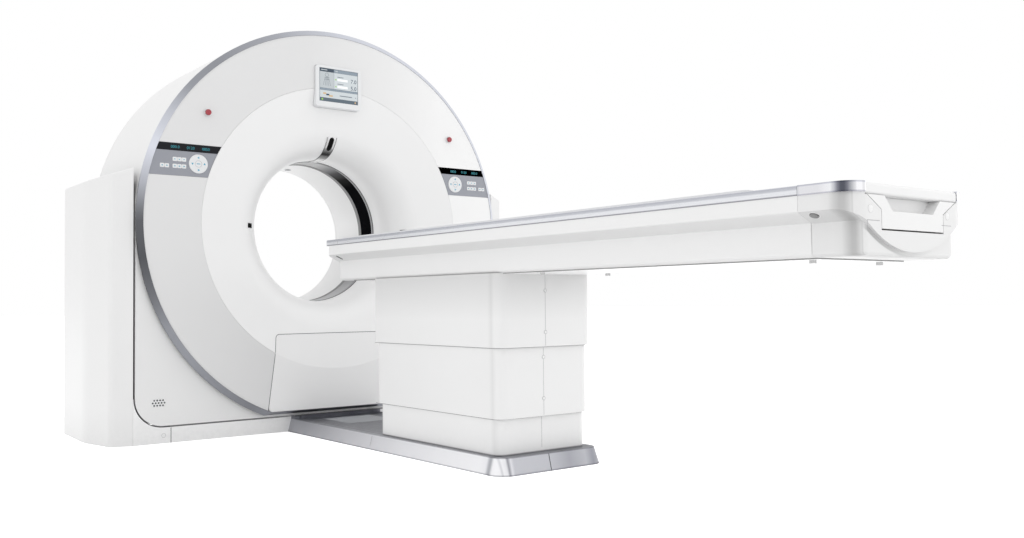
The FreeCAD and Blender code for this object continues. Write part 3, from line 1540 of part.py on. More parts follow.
def column_tube(name, level, low, top, lift=None):
    body = new_body(name, lift)
    outer = sketch_on(body, "XY_Plane", low)
    column_plan(outer, level)
    column_plan(outer, level, s.column_wall)
    pad(body, outer, top - low)
    return body


def add_lip(body, level, top):
    """A flange at the top of a cover that guides it inside the next cover out."""
    sketch = sketch_on(body, "XY_Plane", top)
    outer = level - 1
    half = s.column_half - s.step_side * outer - s.column_wall - s.slide_gap
    front = -s.column_front + s.step_foot * outer + s.column_wall + s.slide_gap
    rear = -s.column_rear - s.step_head * outer - s.column_wall - s.slide_gap
    box_outline(sketch, -half, half, front, rear, s.column_round - s.column_wall)
    column_plan(sketch, level, s.column_wall)
    pad(body, sketch, s.lip_tall, backward=True)


def make_upper_column_cover():
    top = -s.box_drop
    low = s.upper_low - s.table_height
    body = column_tube("column_cover_upper", 0, low, top, s.table_height)
    lid = sketch_on(body, "XY_Plane", top)
    column_plan(lid, 0)
    lift_plan(lid, (s.lift_wall + s.slide_gap) * 2 - s.cover_wall)
    pad(body, lid, s.column_lid, backward=True)
    return body


def make_middle_column_cover():
    body = column_tube("column_cover_middle", 1, s.middle_low, s.upper_low + s.cover_lap)
    add_lip(body, 1, s.upper_low + s.cover_lap)
    return body


def make_lower_column_cover():
    body = column_tube("column_cover_lower", 2, s.lower_low, s.middle_low + s.cover_lap)
    add_lip(body, 2, s.middle_low + s.cover_lap)
    return body


def make_table_base():
    """The sloping cast base, from the gantry's skirt to the table's foot end."""
    body = new_body("table_base")
    rear = -s.body_front - s.laser_lift

    def plan(sketch, inset):
        half = s.base_half - inset
        corner = s.base_round - inset / 2
        outline(sketch, [(-half, rear), (-half, -s.base_front + inset, corner),
                         (half, -s.base_front + inset, corner), (half, rear)])

    floor = sketch_on(body, "XY_Plane")
    plan(floor, 0)
    top = sketch_on(body, "XY_Plane", s.base_tall)
    plan(top, s.base_slope)
    loft = body.newObject("PartDesign::AdditiveLoft", "base_slope")
    loft.Profile = floor
    loft.Sections = [top]
    loft.Ruled = True
    ridge = sketch_on(body, "XY_Plane", s.base_tall - s.merge)
    half = s.base_half - s.base_slope
    box_outline(ridge, -half, half, rear - s.ridge_long, rear)
    pad(body, ridge, s.ridge_tall + s.merge)
    hatch = sketch_on(body, "XY_Plane", s.base_tall)
    box_outline(hatch, -s.hatch_half - s.seam_gap, s.hatch_half + s.seam_gap,
                -s.hatch_rear - s.hatch_long - s.seam_gap, -s.hatch_rear + s.seam_gap)
    pocket(body, hatch, s.hatch_thick)
    return body


def make_base_hatch():
    body = new_body("base_hatch")
    sketch = sketch_on(body, "XY_Plane", s.base_tall - s.hatch_thick)
    box_outline(sketch, -s.hatch_half, s.hatch_half, -s.hatch_rear - s.hatch_long,
                -s.hatch_rear)
    pad(body, sketch, s.hatch_thick)
    return body


def make_bumpers():
    body = new_body("bumpers", s.table_height)
    sketch = sketch_on(body, "XY_Plane", -s.box_drop)
    spots = [(across, reach) for across in (-s.bumper_across, s.bumper_across)
             for reach in (foot_seam - s.bumper_setin, s.column_front + s.bumper_setout)]
    for across, reach in spots:
        circle_on(sketch, s.bumper_radius, across, -reach)
    pad(body, sketch, s.bumper_tall, backward=True)
    return body


# ---------------------------------------------------------------- the whole scanner

bodies = [
    make_base_frame(), make_trunnion_bearings(), make_tilt_gearmotor(), make_front_skirt(),
    make_table_base(), make_base_hatch(), make_lower_column_cover(),
    make_lift_tube("lift_column_fixed", 0, s.base_tall, s.lift_fixed_tall),
    make_lift_tube("lift_column_middle", 1, s.lift_middle_low, s.lift_middle_tall),
    make_rim_ring(), make_fascia_ring(), make_bore_funnel(), make_access_door(),
    make_scan_window(), make_bore_liner(), make_drum_mantle(), make_front_cover(),
    make_speaker_grille(), make_rear_cover(), make_display_bezel(), make_display_glass(),
    make_laser_strip(), make_side_laser_windows(), make_stator_frame(),
    ring_body("bearing_outer_race", race_inner + s.race_wall + s.race_gap,
              race_inner + s.race_wall + s.race_gap + s.outer_race_wall,
              plate_back + s.race_offset, stator_front),
    ring_body("bearing_inner_race", race_inner, race_inner + s.race_wall,
              plate_back, plate_back + s.race_width),
    ring_body("slip_ring", s.slip_inner, s.slip_outer, plate_back, plate_back + s.slip_thick),
    make_brush_block(), make_rotor_drum(), make_xray_tube(), make_detector_arc(),
    make_heat_exchanger(),
    block_on_plate("collimator", -s.collimator_half, s.collimator_half,
                   collimator_low, collimator_high, s.collimator_depth),
    block_on_plate("high_voltage_generator", -generator_inner - s.generator_long,
                   -generator_inner, -s.generator_half, s.generator_half, s.tube_front),
    block_on_plate("data_box", -s.databox_half, s.databox_half,
                   -databox_low - s.databox_tall, -databox_low, s.detector_depth),
    make_head_cover(), make_foot_cover(), make_release_knob(), make_table_frame(),
    make_under_plate(), make_corner_trims(), make_cradle(), make_carriage(),
    make_carriage_end_cover(), make_push_handle(), make_upper_column_cover(),
    make_middle_column_cover(), make_bumpers()]
for side, sign in (("left", -1), ("right", 1)):
    bodies += [make_control_panel(side, sign), make_jog_pad(side, sign),
               make_emergency_stop(side, sign), make_side_cover(side, sign),
               make_long_cover(side, sign), make_rail(side, sign)]
doc.recompute()

faults = [item.Name for item in doc.Objects
          if "Invalid" in item.State or "Error" in item.State]
faults += [body.Label for body in bodies if body.Shape.isNull() or not body.Shape.isValid()]
if faults:
    raise ValueError("not built: " + ", ".join(faults))

os.makedirs("parts", exist_ok=True)
for body in bodies:
    body.Shape.exportStep(f"parts/{body.Label}.step")
print(len(bodies), "parts written")
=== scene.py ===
import bpy
import bmesh
import math
from mathutils import Matrix, Vector


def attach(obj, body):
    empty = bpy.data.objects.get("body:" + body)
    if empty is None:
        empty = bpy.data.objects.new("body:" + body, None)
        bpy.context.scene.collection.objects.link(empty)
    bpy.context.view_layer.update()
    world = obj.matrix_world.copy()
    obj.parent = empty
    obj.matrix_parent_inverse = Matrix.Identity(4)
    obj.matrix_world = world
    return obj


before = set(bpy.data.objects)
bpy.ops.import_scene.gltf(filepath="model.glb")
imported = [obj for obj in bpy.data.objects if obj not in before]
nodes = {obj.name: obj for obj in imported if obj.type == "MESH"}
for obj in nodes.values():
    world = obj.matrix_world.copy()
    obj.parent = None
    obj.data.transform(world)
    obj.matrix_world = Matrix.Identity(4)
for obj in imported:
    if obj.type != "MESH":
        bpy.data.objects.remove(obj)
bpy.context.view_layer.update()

# Where the scanner's main surfaces lie, in metres. Depths run forward from the scan plane,
# heights up from the floor, radii out from the bore's axis.
AXIS_HEIGHT = 0.955
FASCIA_DEPTH = 0.348
SEAM_RADIUS = 0.670          # joint between the flat ring and the cone
BORE_RADIUS = 0.350
CONE_DEPTH = 0.076
CONE_SLOPE = CONE_DEPTH / (SEAM_RADIUS - BORE_RADIUS)
BEND_RADIUS = 0.170          # round edge between the cone and the bore
RIM_INNER = 0.921
RIM_FOOT = 0.855             # axis down to the inner edge of the rim's flat foot
GLASS_DEPTH = 0.3602
GRILLE_DEPTH = 0.3072
SKIRT_DEPTH = 0.309
UPPER_END, MIDDLE_END, LOWER_END = 1.896, 1.8825, 1.869     # ends of the column covers
RAIL_SEAT = 0.841
BOX_FOOT = RAIL_SEAT - 0.149
BAND_HALF = 0.260            # half the width of the table's beam
GROOVE_HALF = 0.208
GROOVE_TOP = RAIL_SEAT - 0.040
GROOVE_FOOT = RAIL_SEAT - 0.064
GROOVE_RISE = (0.908, 0.419)     # across and up, towards the outer edge of the groove
FOOT_DEPTH = 3.291
FOOT_ARC_DROP = 0.223        # rail seat down to the point where the foot's slopes would meet
FOOT_ARC_RADIUS = 0.330      # arc that rounds this point
SCREEN_WIDE, SCREEN_TALL, SCREEN_FOOT = 0.206, 0.159, 1.557
LINE = 0.0012                # width of a fine joint line
FILM = 0.0003                # how far a printed mark stands proud
GASKET_SUNK = 0.0003
JOINT_SUNK = 0.0004
LASER_PROUD = 0.0030
DUST_HEIGHT = 0.16           # floor dust reaches up to here
SMOOTH_BELOW = math.radians(35)


# ------------------------------------------------------------------ shading effects

def effect(name, inputs, outputs):
    """A node group with the named sockets; gives the group and its two end nodes."""
    tree = bpy.data.node_groups.new(name, "ShaderNodeTree")
    for label, kind, value in inputs:
        socket = tree.interface.new_socket(label, in_out="INPUT", socket_type="NodeSocket" + kind)
        if value is not None:
            socket.default_value = value
    for label, kind in outputs:
        tree.interface.new_socket(label, in_out="OUTPUT", socket_type="NodeSocket" + kind)
    return tree, tree.nodes.new("NodeGroupInput"), tree.nodes.new("NodeGroupOutput")


def noise_in(tree, place, scale, detail=2.0, rough=0.5):
    """Cloudy noise from 0 to 1 at a place."""
    node = tree.nodes.new("ShaderNodeTexNoise")
    node.inputs["Scale"].default_value = scale
    node.inputs["Detail"].default_value = detail
    node.inputs["Roughness"].default_value = rough
    tree.links.new(place, node.inputs["Vector"])
    return node.outputs["Fac"]


def sum_in(tree, operation, first, second, third=None):
    """One sum of numbers or of sockets."""
    node = tree.nodes.new("ShaderNodeMath")
    node.operation = operation
    for slot_in, value in zip(node.inputs, (first, second, third)):
        if value is None:
            continue
        if isinstance(value, (int, float)):
            slot_in.default_value = value
        else:
            tree.links.new(value, slot_in)
    return node.outputs[0]


def tinted(tree, colour, factor):
    """The colour multiplied by a factor that changes over the surface."""
    node = tree.nodes.new("ShaderNodeVectorMath")
    node.operation = "SCALE"
    tree.links.new(colour, node.inputs[0])
    tree.links.new(factor, node.inputs["Scale"])
    return node.outputs[0]


def bump_in(tree, height, strength, distance):
    """Relief from a height pattern."""
    node = tree.nodes.new("ShaderNodeBump")
    node.inputs["Distance"].default_value = distance
    tree.links.new(height, node.inputs["Height"])
    if isinstance(strength, float):
        node.inputs["Strength"].default_value = strength
    else:
        tree.links.new(strength, node.inputs["Strength"])
    return node.outputs["Normal"]


def make_lacquer():
    """Sprayed paint on a moulded shell: slow drift of tone, orange peel, wiped dull patches."""
    tree, given, result = effect(
        "lacquer",
        [("Place", "Vector", None), ("Colour", "Color", (0.8, 0.8, 0.8, 1)),
         ("Drift", "Float", 0.02), ("Peel", "Float", 0.05), ("Dullness", "Float", 0.35),
         ("Dust", "Float", 0.04)],
        [("Colour", "Color"), ("Roughness", "Float"), ("Normal", "Vector")])
    place = given.outputs["Place"]
    slow = noise_in(tree, place, scale=1.7, detail=3.0)
    slow = sum_in(tree, "SUBTRACT", slow, 0.5)
    drift = sum_in(tree, "MULTIPLY_ADD", slow, given.outputs["Drift"], 1.0)
    height = tree.nodes.new("ShaderNodeSeparateXYZ")
    tree.links.new(place, height.inputs[0])
    near_floor = tree.nodes.new("ShaderNodeMapRange")
    near_floor.inputs["From Min"].default_value = DUST_HEIGHT
    near_floor.inputs["From Max"].default_value = 0.0
    tree.links.new(height.outputs["Z"], near_floor.inputs["Value"])
    speck = noise_in(tree, place, scale=60.0, detail=5.0, rough=0.7)
    soiled = sum_in(tree, "MULTIPLY", near_floor.outputs[0], speck)
    soiled = sum_in(tree, "MULTIPLY", soiled, given.outputs["Dust"])
    tone = sum_in(tree, "SUBTRACT", drift, soiled)
    tree.links.new(tinted(tree, given.outputs["Colour"], tone), result.inputs["Colour"])
    wiped = noise_in(tree, place, scale=14.0, detail=6.0, rough=0.65)
    wiped = sum_in(tree, "SUBTRACT", wiped, 0.5)
    dull = sum_in(tree, "MULTIPLY_ADD", wiped, 0.12, given.outputs["Dullness"])
    tree.links.new(dull, result.inputs["Roughness"])
    peel = noise_in(tree, place, scale=380.0, detail=1.0)
    relief = bump_in(tree, peel, given.outputs["Peel"], distance=0.0004)
    tree.links.new(relief, result.inputs["Normal"])
    return tree


def make_brushing():
    """Metal drawn along one way: fine streaks in tone, gloss and relief."""
    tree, given, result = effect(
        "brushing",
        [("Place", "Vector", None), ("Colour", "Color", (0.6, 0.6, 0.6, 1)),
         ("Streak", "Float", 0.10), ("Dullness", "Float", 0.3)],
        [("Colour", "Color"), ("Roughness", "Float"), ("Normal", "Vector")])
    place = given.outputs["Place"]
    fine = noise_in(tree, place, scale=1.0, detail=4.0, rough=0.7)
    fine = sum_in(tree, "SUBTRACT", fine, 0.5)
    tone = sum_in(tree, "MULTIPLY_ADD", fine, given.outputs["Streak"], 1.0)
    tree.links.new(tinted(tree, given.outputs["Colour"], tone), result.inputs["Colour"])
    dull = sum_in(tree, "MULTIPLY_ADD", fine, 0.25, given.outputs["Dullness"])
    tree.links.new(dull, result.inputs["Roughness"])
    relief = bump_in(tree, fine, 0.12, distance=0.0001)
    tree.links.new(relief, result.inputs["Normal"])
    return tree


def make_mould_grain():
    """Eroded texture of moulded plastic or cast metal."""
    tree, given, result = effect(
        "mould_grain",
        [("Place", "Vector", None), ("Colour", "Color", (0.5, 0.5, 0.5, 1)),
         ("Scale", "Float", 900.0), ("Relief", "Float", 0.25), ("Dullness", "Float", 0.5)],
        [("Colour", "Color"), ("Roughness", "Float"), ("Normal", "Vector")])
    place = given.outputs["Place"]
    cells = tree.nodes.new("ShaderNodeTexVoronoi")
    tree.links.new(place, cells.inputs["Vector"])
    tree.links.new(given.outputs["Scale"], cells.inputs["Scale"])
    slow = noise_in(tree, place, scale=9.0, detail=5.0, rough=0.6)
    slow = sum_in(tree, "SUBTRACT", slow, 0.5)
    tone = sum_in(tree, "MULTIPLY_ADD", slow, 0.08, 1.0)
    tone = sum_in(tree, "MULTIPLY_ADD", cells.outputs["Distance"], -0.05, tone)
    tree.links.new(tinted(tree, given.outputs["Colour"], tone), result.inputs["Colour"])
    dull = sum_in(tree, "MULTIPLY_ADD", slow, 0.15, given.outputs["Dullness"])
    tree.links.new(dull, result.inputs["Roughness"])
    relief = bump_in(tree, cells.outputs["Distance"], given.outputs["Relief"], distance=0.0002)
    tree.links.new(relief, result.inputs["Normal"])
    return tree


LACQUER = make_lacquer()
BRUSHING = make_brushing()
MOULD_GRAIN = make_mould_grain()


# ------------------------------------------------------------------ materials

def as_colour(tone):
    """Red, green and blue of a tone, which may be one number for a plain grey."""
    return (tone,) * 3 if isinstance(tone, float) else tuple(tone)


def finish_of(name, shading, tone, values, stretch=(1, 1, 1), metallic=0.0, **sockets):
    """A material whose colour, roughness and relief come from one of the effects."""
    material = bpy.data.materials.new(name)
    material.use_nodes = True
    tree = material.node_tree
    skin = tree.nodes["Principled BSDF"]
    place = tree.nodes.new("ShaderNodeTexCoord")
    mapping = tree.nodes.new("ShaderNodeMapping")
    mapping.inputs["Scale"].default_value = stretch
    group = tree.nodes.new("ShaderNodeGroup")
    group.node_tree = shading
    tree.links.new(place.outputs["Object"], mapping.inputs["Vector"])
    tree.links.new(mapping.outputs[0], group.inputs["Place"])
    group.inputs["Colour"].default_value = (*as_colour(tone), 1)
    for label, value in values.items():
        group.inputs[label].default_value = value
    tree.links.new(group.outputs["Colour"], skin.inputs["Base Color"])
    tree.links.new(group.outputs["Roughness"], skin.inputs["Roughness"])
    tree.links.new(group.outputs["Normal"], skin.inputs["Normal"])
    skin.inputs["Metallic"].default_value = metallic
    for label, value in sockets.items():
        skin.inputs[label.replace("_", " ")].default_value = value
    return material


def lacquered(name, tone, drift, peel, dullness=0.35, dust=0.04, **sockets):
    values = {"Drift": drift, "Peel": peel, "Dullness": dullness, "Dust": dust}
    return finish_of(name, LACQUER, tone, values, **sockets)


def brushed(name, tone, streak, dullness, stretch, metallic):
    values = {"Streak": streak, "Dullness": dullness}
    return finish_of(name, BRUSHING, tone, values, stretch, metallic)


def moulded(name, tone, scale, relief, dullness, **sockets):
    values = {"Scale": scale, "Relief": relief, "Dullness": dullness}
    return finish_of(name, MOULD_GRAIN, tone, values, **sockets)


def shell_white(name, tone):
    """The finish of the large covers."""
    return lacquered(name, tone, drift=0.03, peel=0.05, dullness=0.36, dust=0.12)


def glowing(name, tone, strength):
    """A lit field of a screen, which shines a little in its own colour."""
    material = lacquered(name, tone, drift=0.04, peel=0.0, dullness=0.25)
    skin = material.node_tree.nodes["Principled BSDF"]
    skin.inputs["Emission Color"].default_value = (*tone, 1)
    skin.inputs["Emission Strength"].default_value = strength
    return material


def node_of(tree, kind):
    """The first node of a kind in a material."""
    return next(node for node in tree.nodes if node.type == kind)


def object_axes(tree):
    """The place on the object, split into its X, Y and Z."""
    parts = tree.nodes.new("ShaderNodeSeparateXYZ")
    tree.links.new(node_of(tree, "TEX_COORD").outputs["Object"], parts.inputs[0])
    return parts.outputs


def ramp_in(tree, share, stops):
    """A ramp of colours over a share from 0 to 1: stops are (share, tone)."""
    ramp = tree.nodes.new("ShaderNodeValToRGB")
    elements = ramp.color_ramp.elements
    while len(elements) < len(stops):
        elements.new(0.5)
    for element, (where, tone) in zip(elements, stops):
        element.position = where
        element.color = (*as_colour(tone), 1)
    tree.links.new(share, ramp.inputs["Fac"])
    return ramp.outputs["Color"]


def join_colour(tree, colour):
    """Drive the effect's colour, multiplied by the pattern that drives it already."""
    given = node_of(tree, "GROUP").inputs["Colour"]
    if given.is_linked:
        both = tree.nodes.new("ShaderNodeVectorMath")
        both.operation = "MULTIPLY"
        tree.links.new(given.links[0].from_socket, both.inputs[0])
        tree.links.new(colour, both.inputs[1])
        colour = both.outputs[0]
    tree.links.new(colour, given)


def zoned(material, axis, bands):
    """Vary the colour along one axis: bands are (place along the axis, tone)."""
    tree = material.node_tree
    low, high = bands[0][0], bands[-1][0]
    spread = tree.nodes.new("ShaderNodeMapRange")
    spread.inputs["From Min"].default_value = low
    spread.inputs["From Max"].default_value = high
    tree.links.new(object_axes(tree)[axis], spread.inputs["Value"])
    stops = [((where - low) / (high - low), tone) for where, tone in bands]
    join_colour(tree, ramp_in(tree, spread.outputs[0], stops))


def ringed(material, tint, bands):
    """Vary the colour round the bore's axis: bands are (degrees, brightness of the tint)."""
    tree = material.node_tree
    axes = object_axes(tree)
    up = sum_in(tree, "SUBTRACT", axes["Z"], AXIS_HEIGHT)
    turn = sum_in(tree, "ARCTAN2", up, axes["X"])
    share = sum_in(tree, "MULTIPLY_ADD", turn, 1 / math.tau, 0.5)
    stops = [(degrees / 360 + 0.5, [level * part for part in tint]) for degrees, level in bands]
    join_colour(tree, ramp_in(tree, share, stops))


def painted_shade_below(material, level):
    """Paint shade where the surface looks down: deepen the colour there."""
    tree = material.node_tree
    given = node_of(tree, "GROUP").inputs["Colour"]
    own = (1, 1, 1) if given.is_linked else tuple(given.default_value)[:3]
    looks = tree.nodes.new("ShaderNodeNewGeometry")
    parts = tree.nodes.new("ShaderNodeSeparateXYZ")
    tree.links.new(looks.outputs["Normal"], parts.inputs[0])
    upwards = sum_in(tree, "MULTIPLY_ADD", parts.outputs["Z"], 0.5, 0.5)
    stops = ((0.05, [level * part for part in own]), (0.45, own))
    join_colour(tree, ramp_in(tree, upwards, stops))


def shaded_under_arc(material, centre, radius, deep, level):
    """Paint shade in a band just outside an arc that lies across the foot's end: deepen the colour
    there.
    """
    left_end, left_rise = -0.2005, 80.0
    right_end, right_rise = 0.10, 3.6
    tree = material.node_tree
    axes = object_axes(tree)
    across = axes["X"]
    up = sum_in(tree, "SUBTRACT", axes["Z"], centre)
    square = sum_in(tree, "MULTIPLY", up, up)
    reach = sum_in(tree, "POWER", sum_in(tree, "MULTIPLY_ADD", across, across, square), 0.5)
    past = sum_in(tree, "MULTIPLY_ADD", reach, 1 / deep, -radius / deep)
    left = sum_in(tree, "MULTIPLY_ADD", across, left_rise, -left_end * left_rise)
    right = sum_in(tree, "MULTIPLY_ADD", across, -right_rise, right_end * right_rise)
    fade = sum_in(tree, "MINIMUM", sum_in(tree, "MAXIMUM", left, 0.0),
                  sum_in(tree, "MAXIMUM", right, 0.0))
    fade = sum_in(tree, "MINIMUM", fade, 1.0)
    band = ramp_in(tree, past, ((0.0, 0.0), (0.04, 0.75), (0.70, 1.0), (1.0, 0.0)))
    depth = sum_in(tree, "MULTIPLY", band, fade)
    join_colour(tree, sum_in(tree, "MULTIPLY_ADD", depth, level - 1, 1.0))


# The covers share one white lacquer at tones set part by part: partly the paint's own tone, partly
# painted light, lighter on parts that get less light, such as the bore's liner, the door, the skirt
# and the plate under the table.
casing_white = shell_white("casing_white", 0.80)
fascia_white = shell_white("fascia_white", (0.725, 0.725, 0.727))
cone_white = shell_white("cone_white", 0.84)
door_white = shell_white("door_white", 0.86)
bore_white = shell_white("bore_white", 0.85)
column_white = shell_white("column_white", 0.88)
table_white = shell_white("table_white", 0.84)
foot_white = shell_white("foot_white", 0.80)
under_white = shell_white("under_white", 0.93)
skirt_white = lacquered("skirt_white", 0.88, drift=0.04, peel=0.06, dullness=0.45, dust=0.2)
cradle_shell = lacquered("cradle_shell", (0.84, 0.845, 0.855), drift=0.05, peel=0.10,
                         dullness=0.42)
rim_silver = brushed("rim_silver", (0.56, 0.57, 0.61), streak=0.06, dullness=0.34,
                     stretch=(40, 900, 40), metallic=0.75)
rail_silver = brushed("rail_silver", (0.66, 0.67, 0.70), streak=0.10, dullness=0.30,
                      stretch=(900, 14, 900), metallic=0.8)
base_silver = brushed("base_silver", (0.60, 0.61, 0.63), streak=0.05, dullness=0.38,
                      stretch=(60, 60, 60), metallic=0.7)
trim_chrome = brushed("trim_chrome", (0.80, 0.80, 0.83), streak=0.02, dullness=0.12,
                      stretch=(500, 500, 80), metallic=1.0)
laser_chrome = brushed("laser_chrome", (0.62, 0.62, 0.63), streak=0.05, dullness=0.16,
                       stretch=(600, 30, 30), metallic=1.0)
satin_steel = brushed("satin_steel", (0.55, 0.55, 0.56), streak=0.12, dullness=0.28,
                      stretch=(300, 300, 300), metallic=1.0)
drawn_alloy = brushed("drawn_alloy", (0.60, 0.61, 0.62), streak=0.12, dullness=0.36,
                      stretch=(500, 500, 8), metallic=0.9)
turned_alloy = brushed("turned_alloy", (0.63, 0.64, 0.65), streak=0.15, dullness=0.32,
                       stretch=(30, 500, 30), metallic=0.9)
brass = brushed("brass", (0.66, 0.50, 0.26), streak=0.10, dullness=0.22, stretch=(30, 800, 30),
                metallic=1.0)
frame_paint = moulded("frame_paint", (0.16, 0.17, 0.18), scale=240.0, relief=0.3, dullness=0.5)
drive_paint = moulded("drive_paint", (0.20, 0.22, 0.25), scale=180.0, relief=0.4, dullness=0.45)
housing_paint = moulded("housing_paint", (0.52, 0.54, 0.55), scale=300.0, relief=0.2,
                        dullness=0.42)
dark_paint = moulded("dark_paint", (0.06, 0.065, 0.07), scale=500.0, relief=0.2, dullness=0.5)
grille_grey = moulded("grille_grey", (0.30, 0.31, 0.33), scale=900.0, relief=0.25, dullness=0.55)
window_film = moulded("window_film", (0.62, 0.63, 0.63), scale=700.0, relief=0.03, dullness=0.45,
                      Specular_IOR_Level=0.0)
bezel_silver = lacquered("bezel_silver", (0.77, 0.78, 0.79), drift=0.02, peel=0.08, dullness=0.3)
panel_grey = brushed("panel_grey", (0.29, 0.30, 0.335), streak=0.10, dullness=0.40,
                     stretch=(14, 500, 900), metallic=0.25)
readout_black = lacquered("readout_black", (0.012, 0.013, 0.016), drift=0.3, peel=0.02,
                          dullness=0.25, Specular_IOR_Level=0.12)
# Dark of gaskets and joints; the same dark makes the beads of painted shadow under the lower
# casing.
gasket_and_shadow = moulded("gasket_and_shadow", (0.10, 0.10, 0.11), scale=1200.0, relief=0.1, dullness=0.7)
# Grey of fine joints and marks; the same grey makes the lines of painted shadow under the column
# covers.
joint_and_shade_grey = moulded("joint_and_shade_grey", (0.38, 0.38, 0.39), scale=1200.0, relief=0.1, dullness=0.7)
shade_grey = moulded("shade_grey", 0.26, scale=1200.0, relief=0.1, dullness=0.6)
foot_line = moulded("foot_line", 0.66, scale=1200.0, relief=0.1, dullness=0.6)
key_white = moulded("key_white", (0.78, 0.79, 0.80), scale=1500.0, relief=0.1, dullness=0.4)
mark_cyan = lacquered("mark_cyan", (0.08, 0.36, 0.50), drift=0.1, peel=0.0)
digit_cyan = glowing("digit_cyan", (0.02, 0.20, 0.24), strength=0.35)
stop_red = lacquered("stop_red", (0.34, 0.02, 0.035), drift=0.1, peel=0.02, dullness=0.22,
                     Coat_Weight=0.4)
laser_black = lacquered("laser_black", 0.003, drift=0.2, peel=0.0, dullness=0.25,
                        Specular_IOR_Level=0.04)
bumper_rubber = moulded("bumper_rubber", 0.60, scale=600.0, relief=0.2, dullness=0.7)
knob_grey = moulded("knob_grey", 0.22, scale=1400.0, relief=0.2, dullness=0.4)
resin_brown = moulded("resin_brown", (0.22, 0.11, 0.05), scale=300.0, relief=0.2, dullness=0.4)
screen_slate = glowing("screen_slate", (0.085, 0.115, 0.145), strength=0.2)
screen_tab = glowing("screen_tab", (0.035, 0.055, 0.08), strength=0.2)
screen_header = glowing("screen_header", (0.205, 0.250, 0.295), strength=0.25)
screen_pale = glowing("screen_pale", (0.525, 0.565, 0.585), strength=0.2)
screen_mist = glowing("screen_mist", (0.440, 0.475, 0.495), strength=0.2)
screen_white = glowing("screen_white", (0.85, 0.87, 0.88), strength=0.15)
screen_ink = glowing("screen_ink", (0.025, 0.055, 0.10), strength=0.05)
screen_line = glowing("screen_line", (0.17, 0.20, 0.23), strength=0.1)
screen_green = glowing("screen_green", (0.25, 0.52, 0.06), strength=0.3)
screen_tan = glowing("screen_tan", (0.55, 0.38, 0.20), strength=0.2)

# Tones that run over the surfaces. Most are painted light, painted shade and painted reflections of
# the studio's soft light, as noted at each.
# Bands up the rails' side: a dark line along the foot, a pale band, a darker band and a paler top
# edge.
zoned(rail_silver, "Z", [
    (RAIL_SEAT, (0.20, 0.20, 0.22)), (RAIL_SEAT + 0.0024, (0.28, 0.28, 0.31)),
    (RAIL_SEAT + 0.0040, (0.74, 0.75, 0.78)), (RAIL_SEAT + 0.0125, (0.74, 0.75, 0.78)),
    (RAIL_SEAT + 0.0160, (0.52, 0.53, 0.57)), (RAIL_SEAT + 0.0225, (0.46, 0.47, 0.52)),
    (RAIL_SEAT + 0.025, (0.66, 0.67, 0.71))])
# Painted reflections and shade round the silver rim: bright and dark bands by angle about the
# bore's axis, in a bluish tint.
ringed(rim_silver, (0.83, 0.855, 0.94), [
    (-180, 0.12), (-170, 0.08), (-160, 0.14), (-150, 0.26), (-140, 0.28), (-130, 0.245),
    (-118, 0.20), (-100, 0.30), (-80, 0.40), (-40, 0.62), (0, 0.80), (30, 0.79), (50, 0.74),
    (70, 0.76), (80, 0.72), (90, 0.63), (100, 0.52), (110, 0.40), (120, 0.35), (130, 0.30),
    (140, 0.35), (150, 0.64), (160, 0.84), (170, 0.50), (178, 0.17), (180, 0.13)])
# Painted light and shade on the scan window: pale near the bore's floor and ceiling, near black
# between.
zoned(window_film, "Z", [
    (0.60, (0.70, 0.70, 0.71)), (0.70, (0.45, 0.45, 0.46)), (0.80, 0.16),
    (0.90, (0.006, 0.006, 0.007)), (1.200, (0.006, 0.006, 0.007)), (1.235, 0.03),
    (1.265, (0.14, 0.14, 0.145)), (1.285, (0.42, 0.42, 0.43)), (1.300, 0.78)])
# Painted light on the flat ring: lighter towards its right side.
zoned(fascia_white, "X", [
    (-0.95, (0.725, 0.725, 0.727)), (-0.15, (0.725, 0.725, 0.727)), (0.30, 0.79), (0.60, 0.86),
    (0.95, 0.87)])
# Painted light on the cone: lighter towards its foot.
zoned(cone_white, "Z", [(0.28, 0.91), (0.62, 0.88), (0.90, 0.84), (1.62, 0.84)])
# Painted shade on the column covers: a darker band down their rounded upright corners.
zoned(column_white, "Y", [
    (-1.890, 0.84), (-1.862, 0.84), (-1.845, 0.75), (-1.825, 0.83), (-1.70, 0.84)])
# Painted shadow on the column covers: a dark line along the foot, where they meet the base, and
# shade towards the top, under the table.
zoned(column_white, "Z", [
    (0.0600, (0.25, 0.25, 0.26)), (0.0630, (0.32, 0.32, 0.33)), (0.0655, 1.0), (0.53, 1.0),
    (0.69, 0.80)])
# Painted reflections on the chrome corner trims: dark and bright bands round the foot's corners and
# up their height.
zoned(trim_chrome, "Y", [
    (-3.2911, (0.82, 0.82, 0.84)), (-3.2860, (0.80, 0.80, 0.83)), (-3.2800, (0.48, 0.49, 0.52)),
    (-3.2730, (0.20, 0.205, 0.24)), (-3.2670, (0.10, 0.105, 0.13)), (-3.2590, (0.10, 0.105, 0.13)),
    (-3.2520, (0.22, 0.225, 0.26)), (-3.2440, (0.50, 0.51, 0.55)), (-3.2340, (0.84, 0.85, 0.87)),
    (-3.2200, (0.83, 0.83, 0.86)), (-3.2000, (0.76, 0.76, 0.79)), (-3.1500, (0.77, 0.77, 0.80)),
    (-3.1400, (0.60, 0.61, 0.64))])
zoned(trim_chrome, "Z", [
    (RAIL_SEAT - 0.001, (0.55, 0.55, 0.60)), (RAIL_SEAT + 0.0015, (0.70, 0.70, 0.74)),
    (RAIL_SEAT + 0.004, 1.0), (RAIL_SEAT + 0.020, 1.0),
    (RAIL_SEAT + 0.0225, (0.72, 0.73, 0.78)), (RAIL_SEAT + 0.025, (0.62, 0.63, 0.68))])
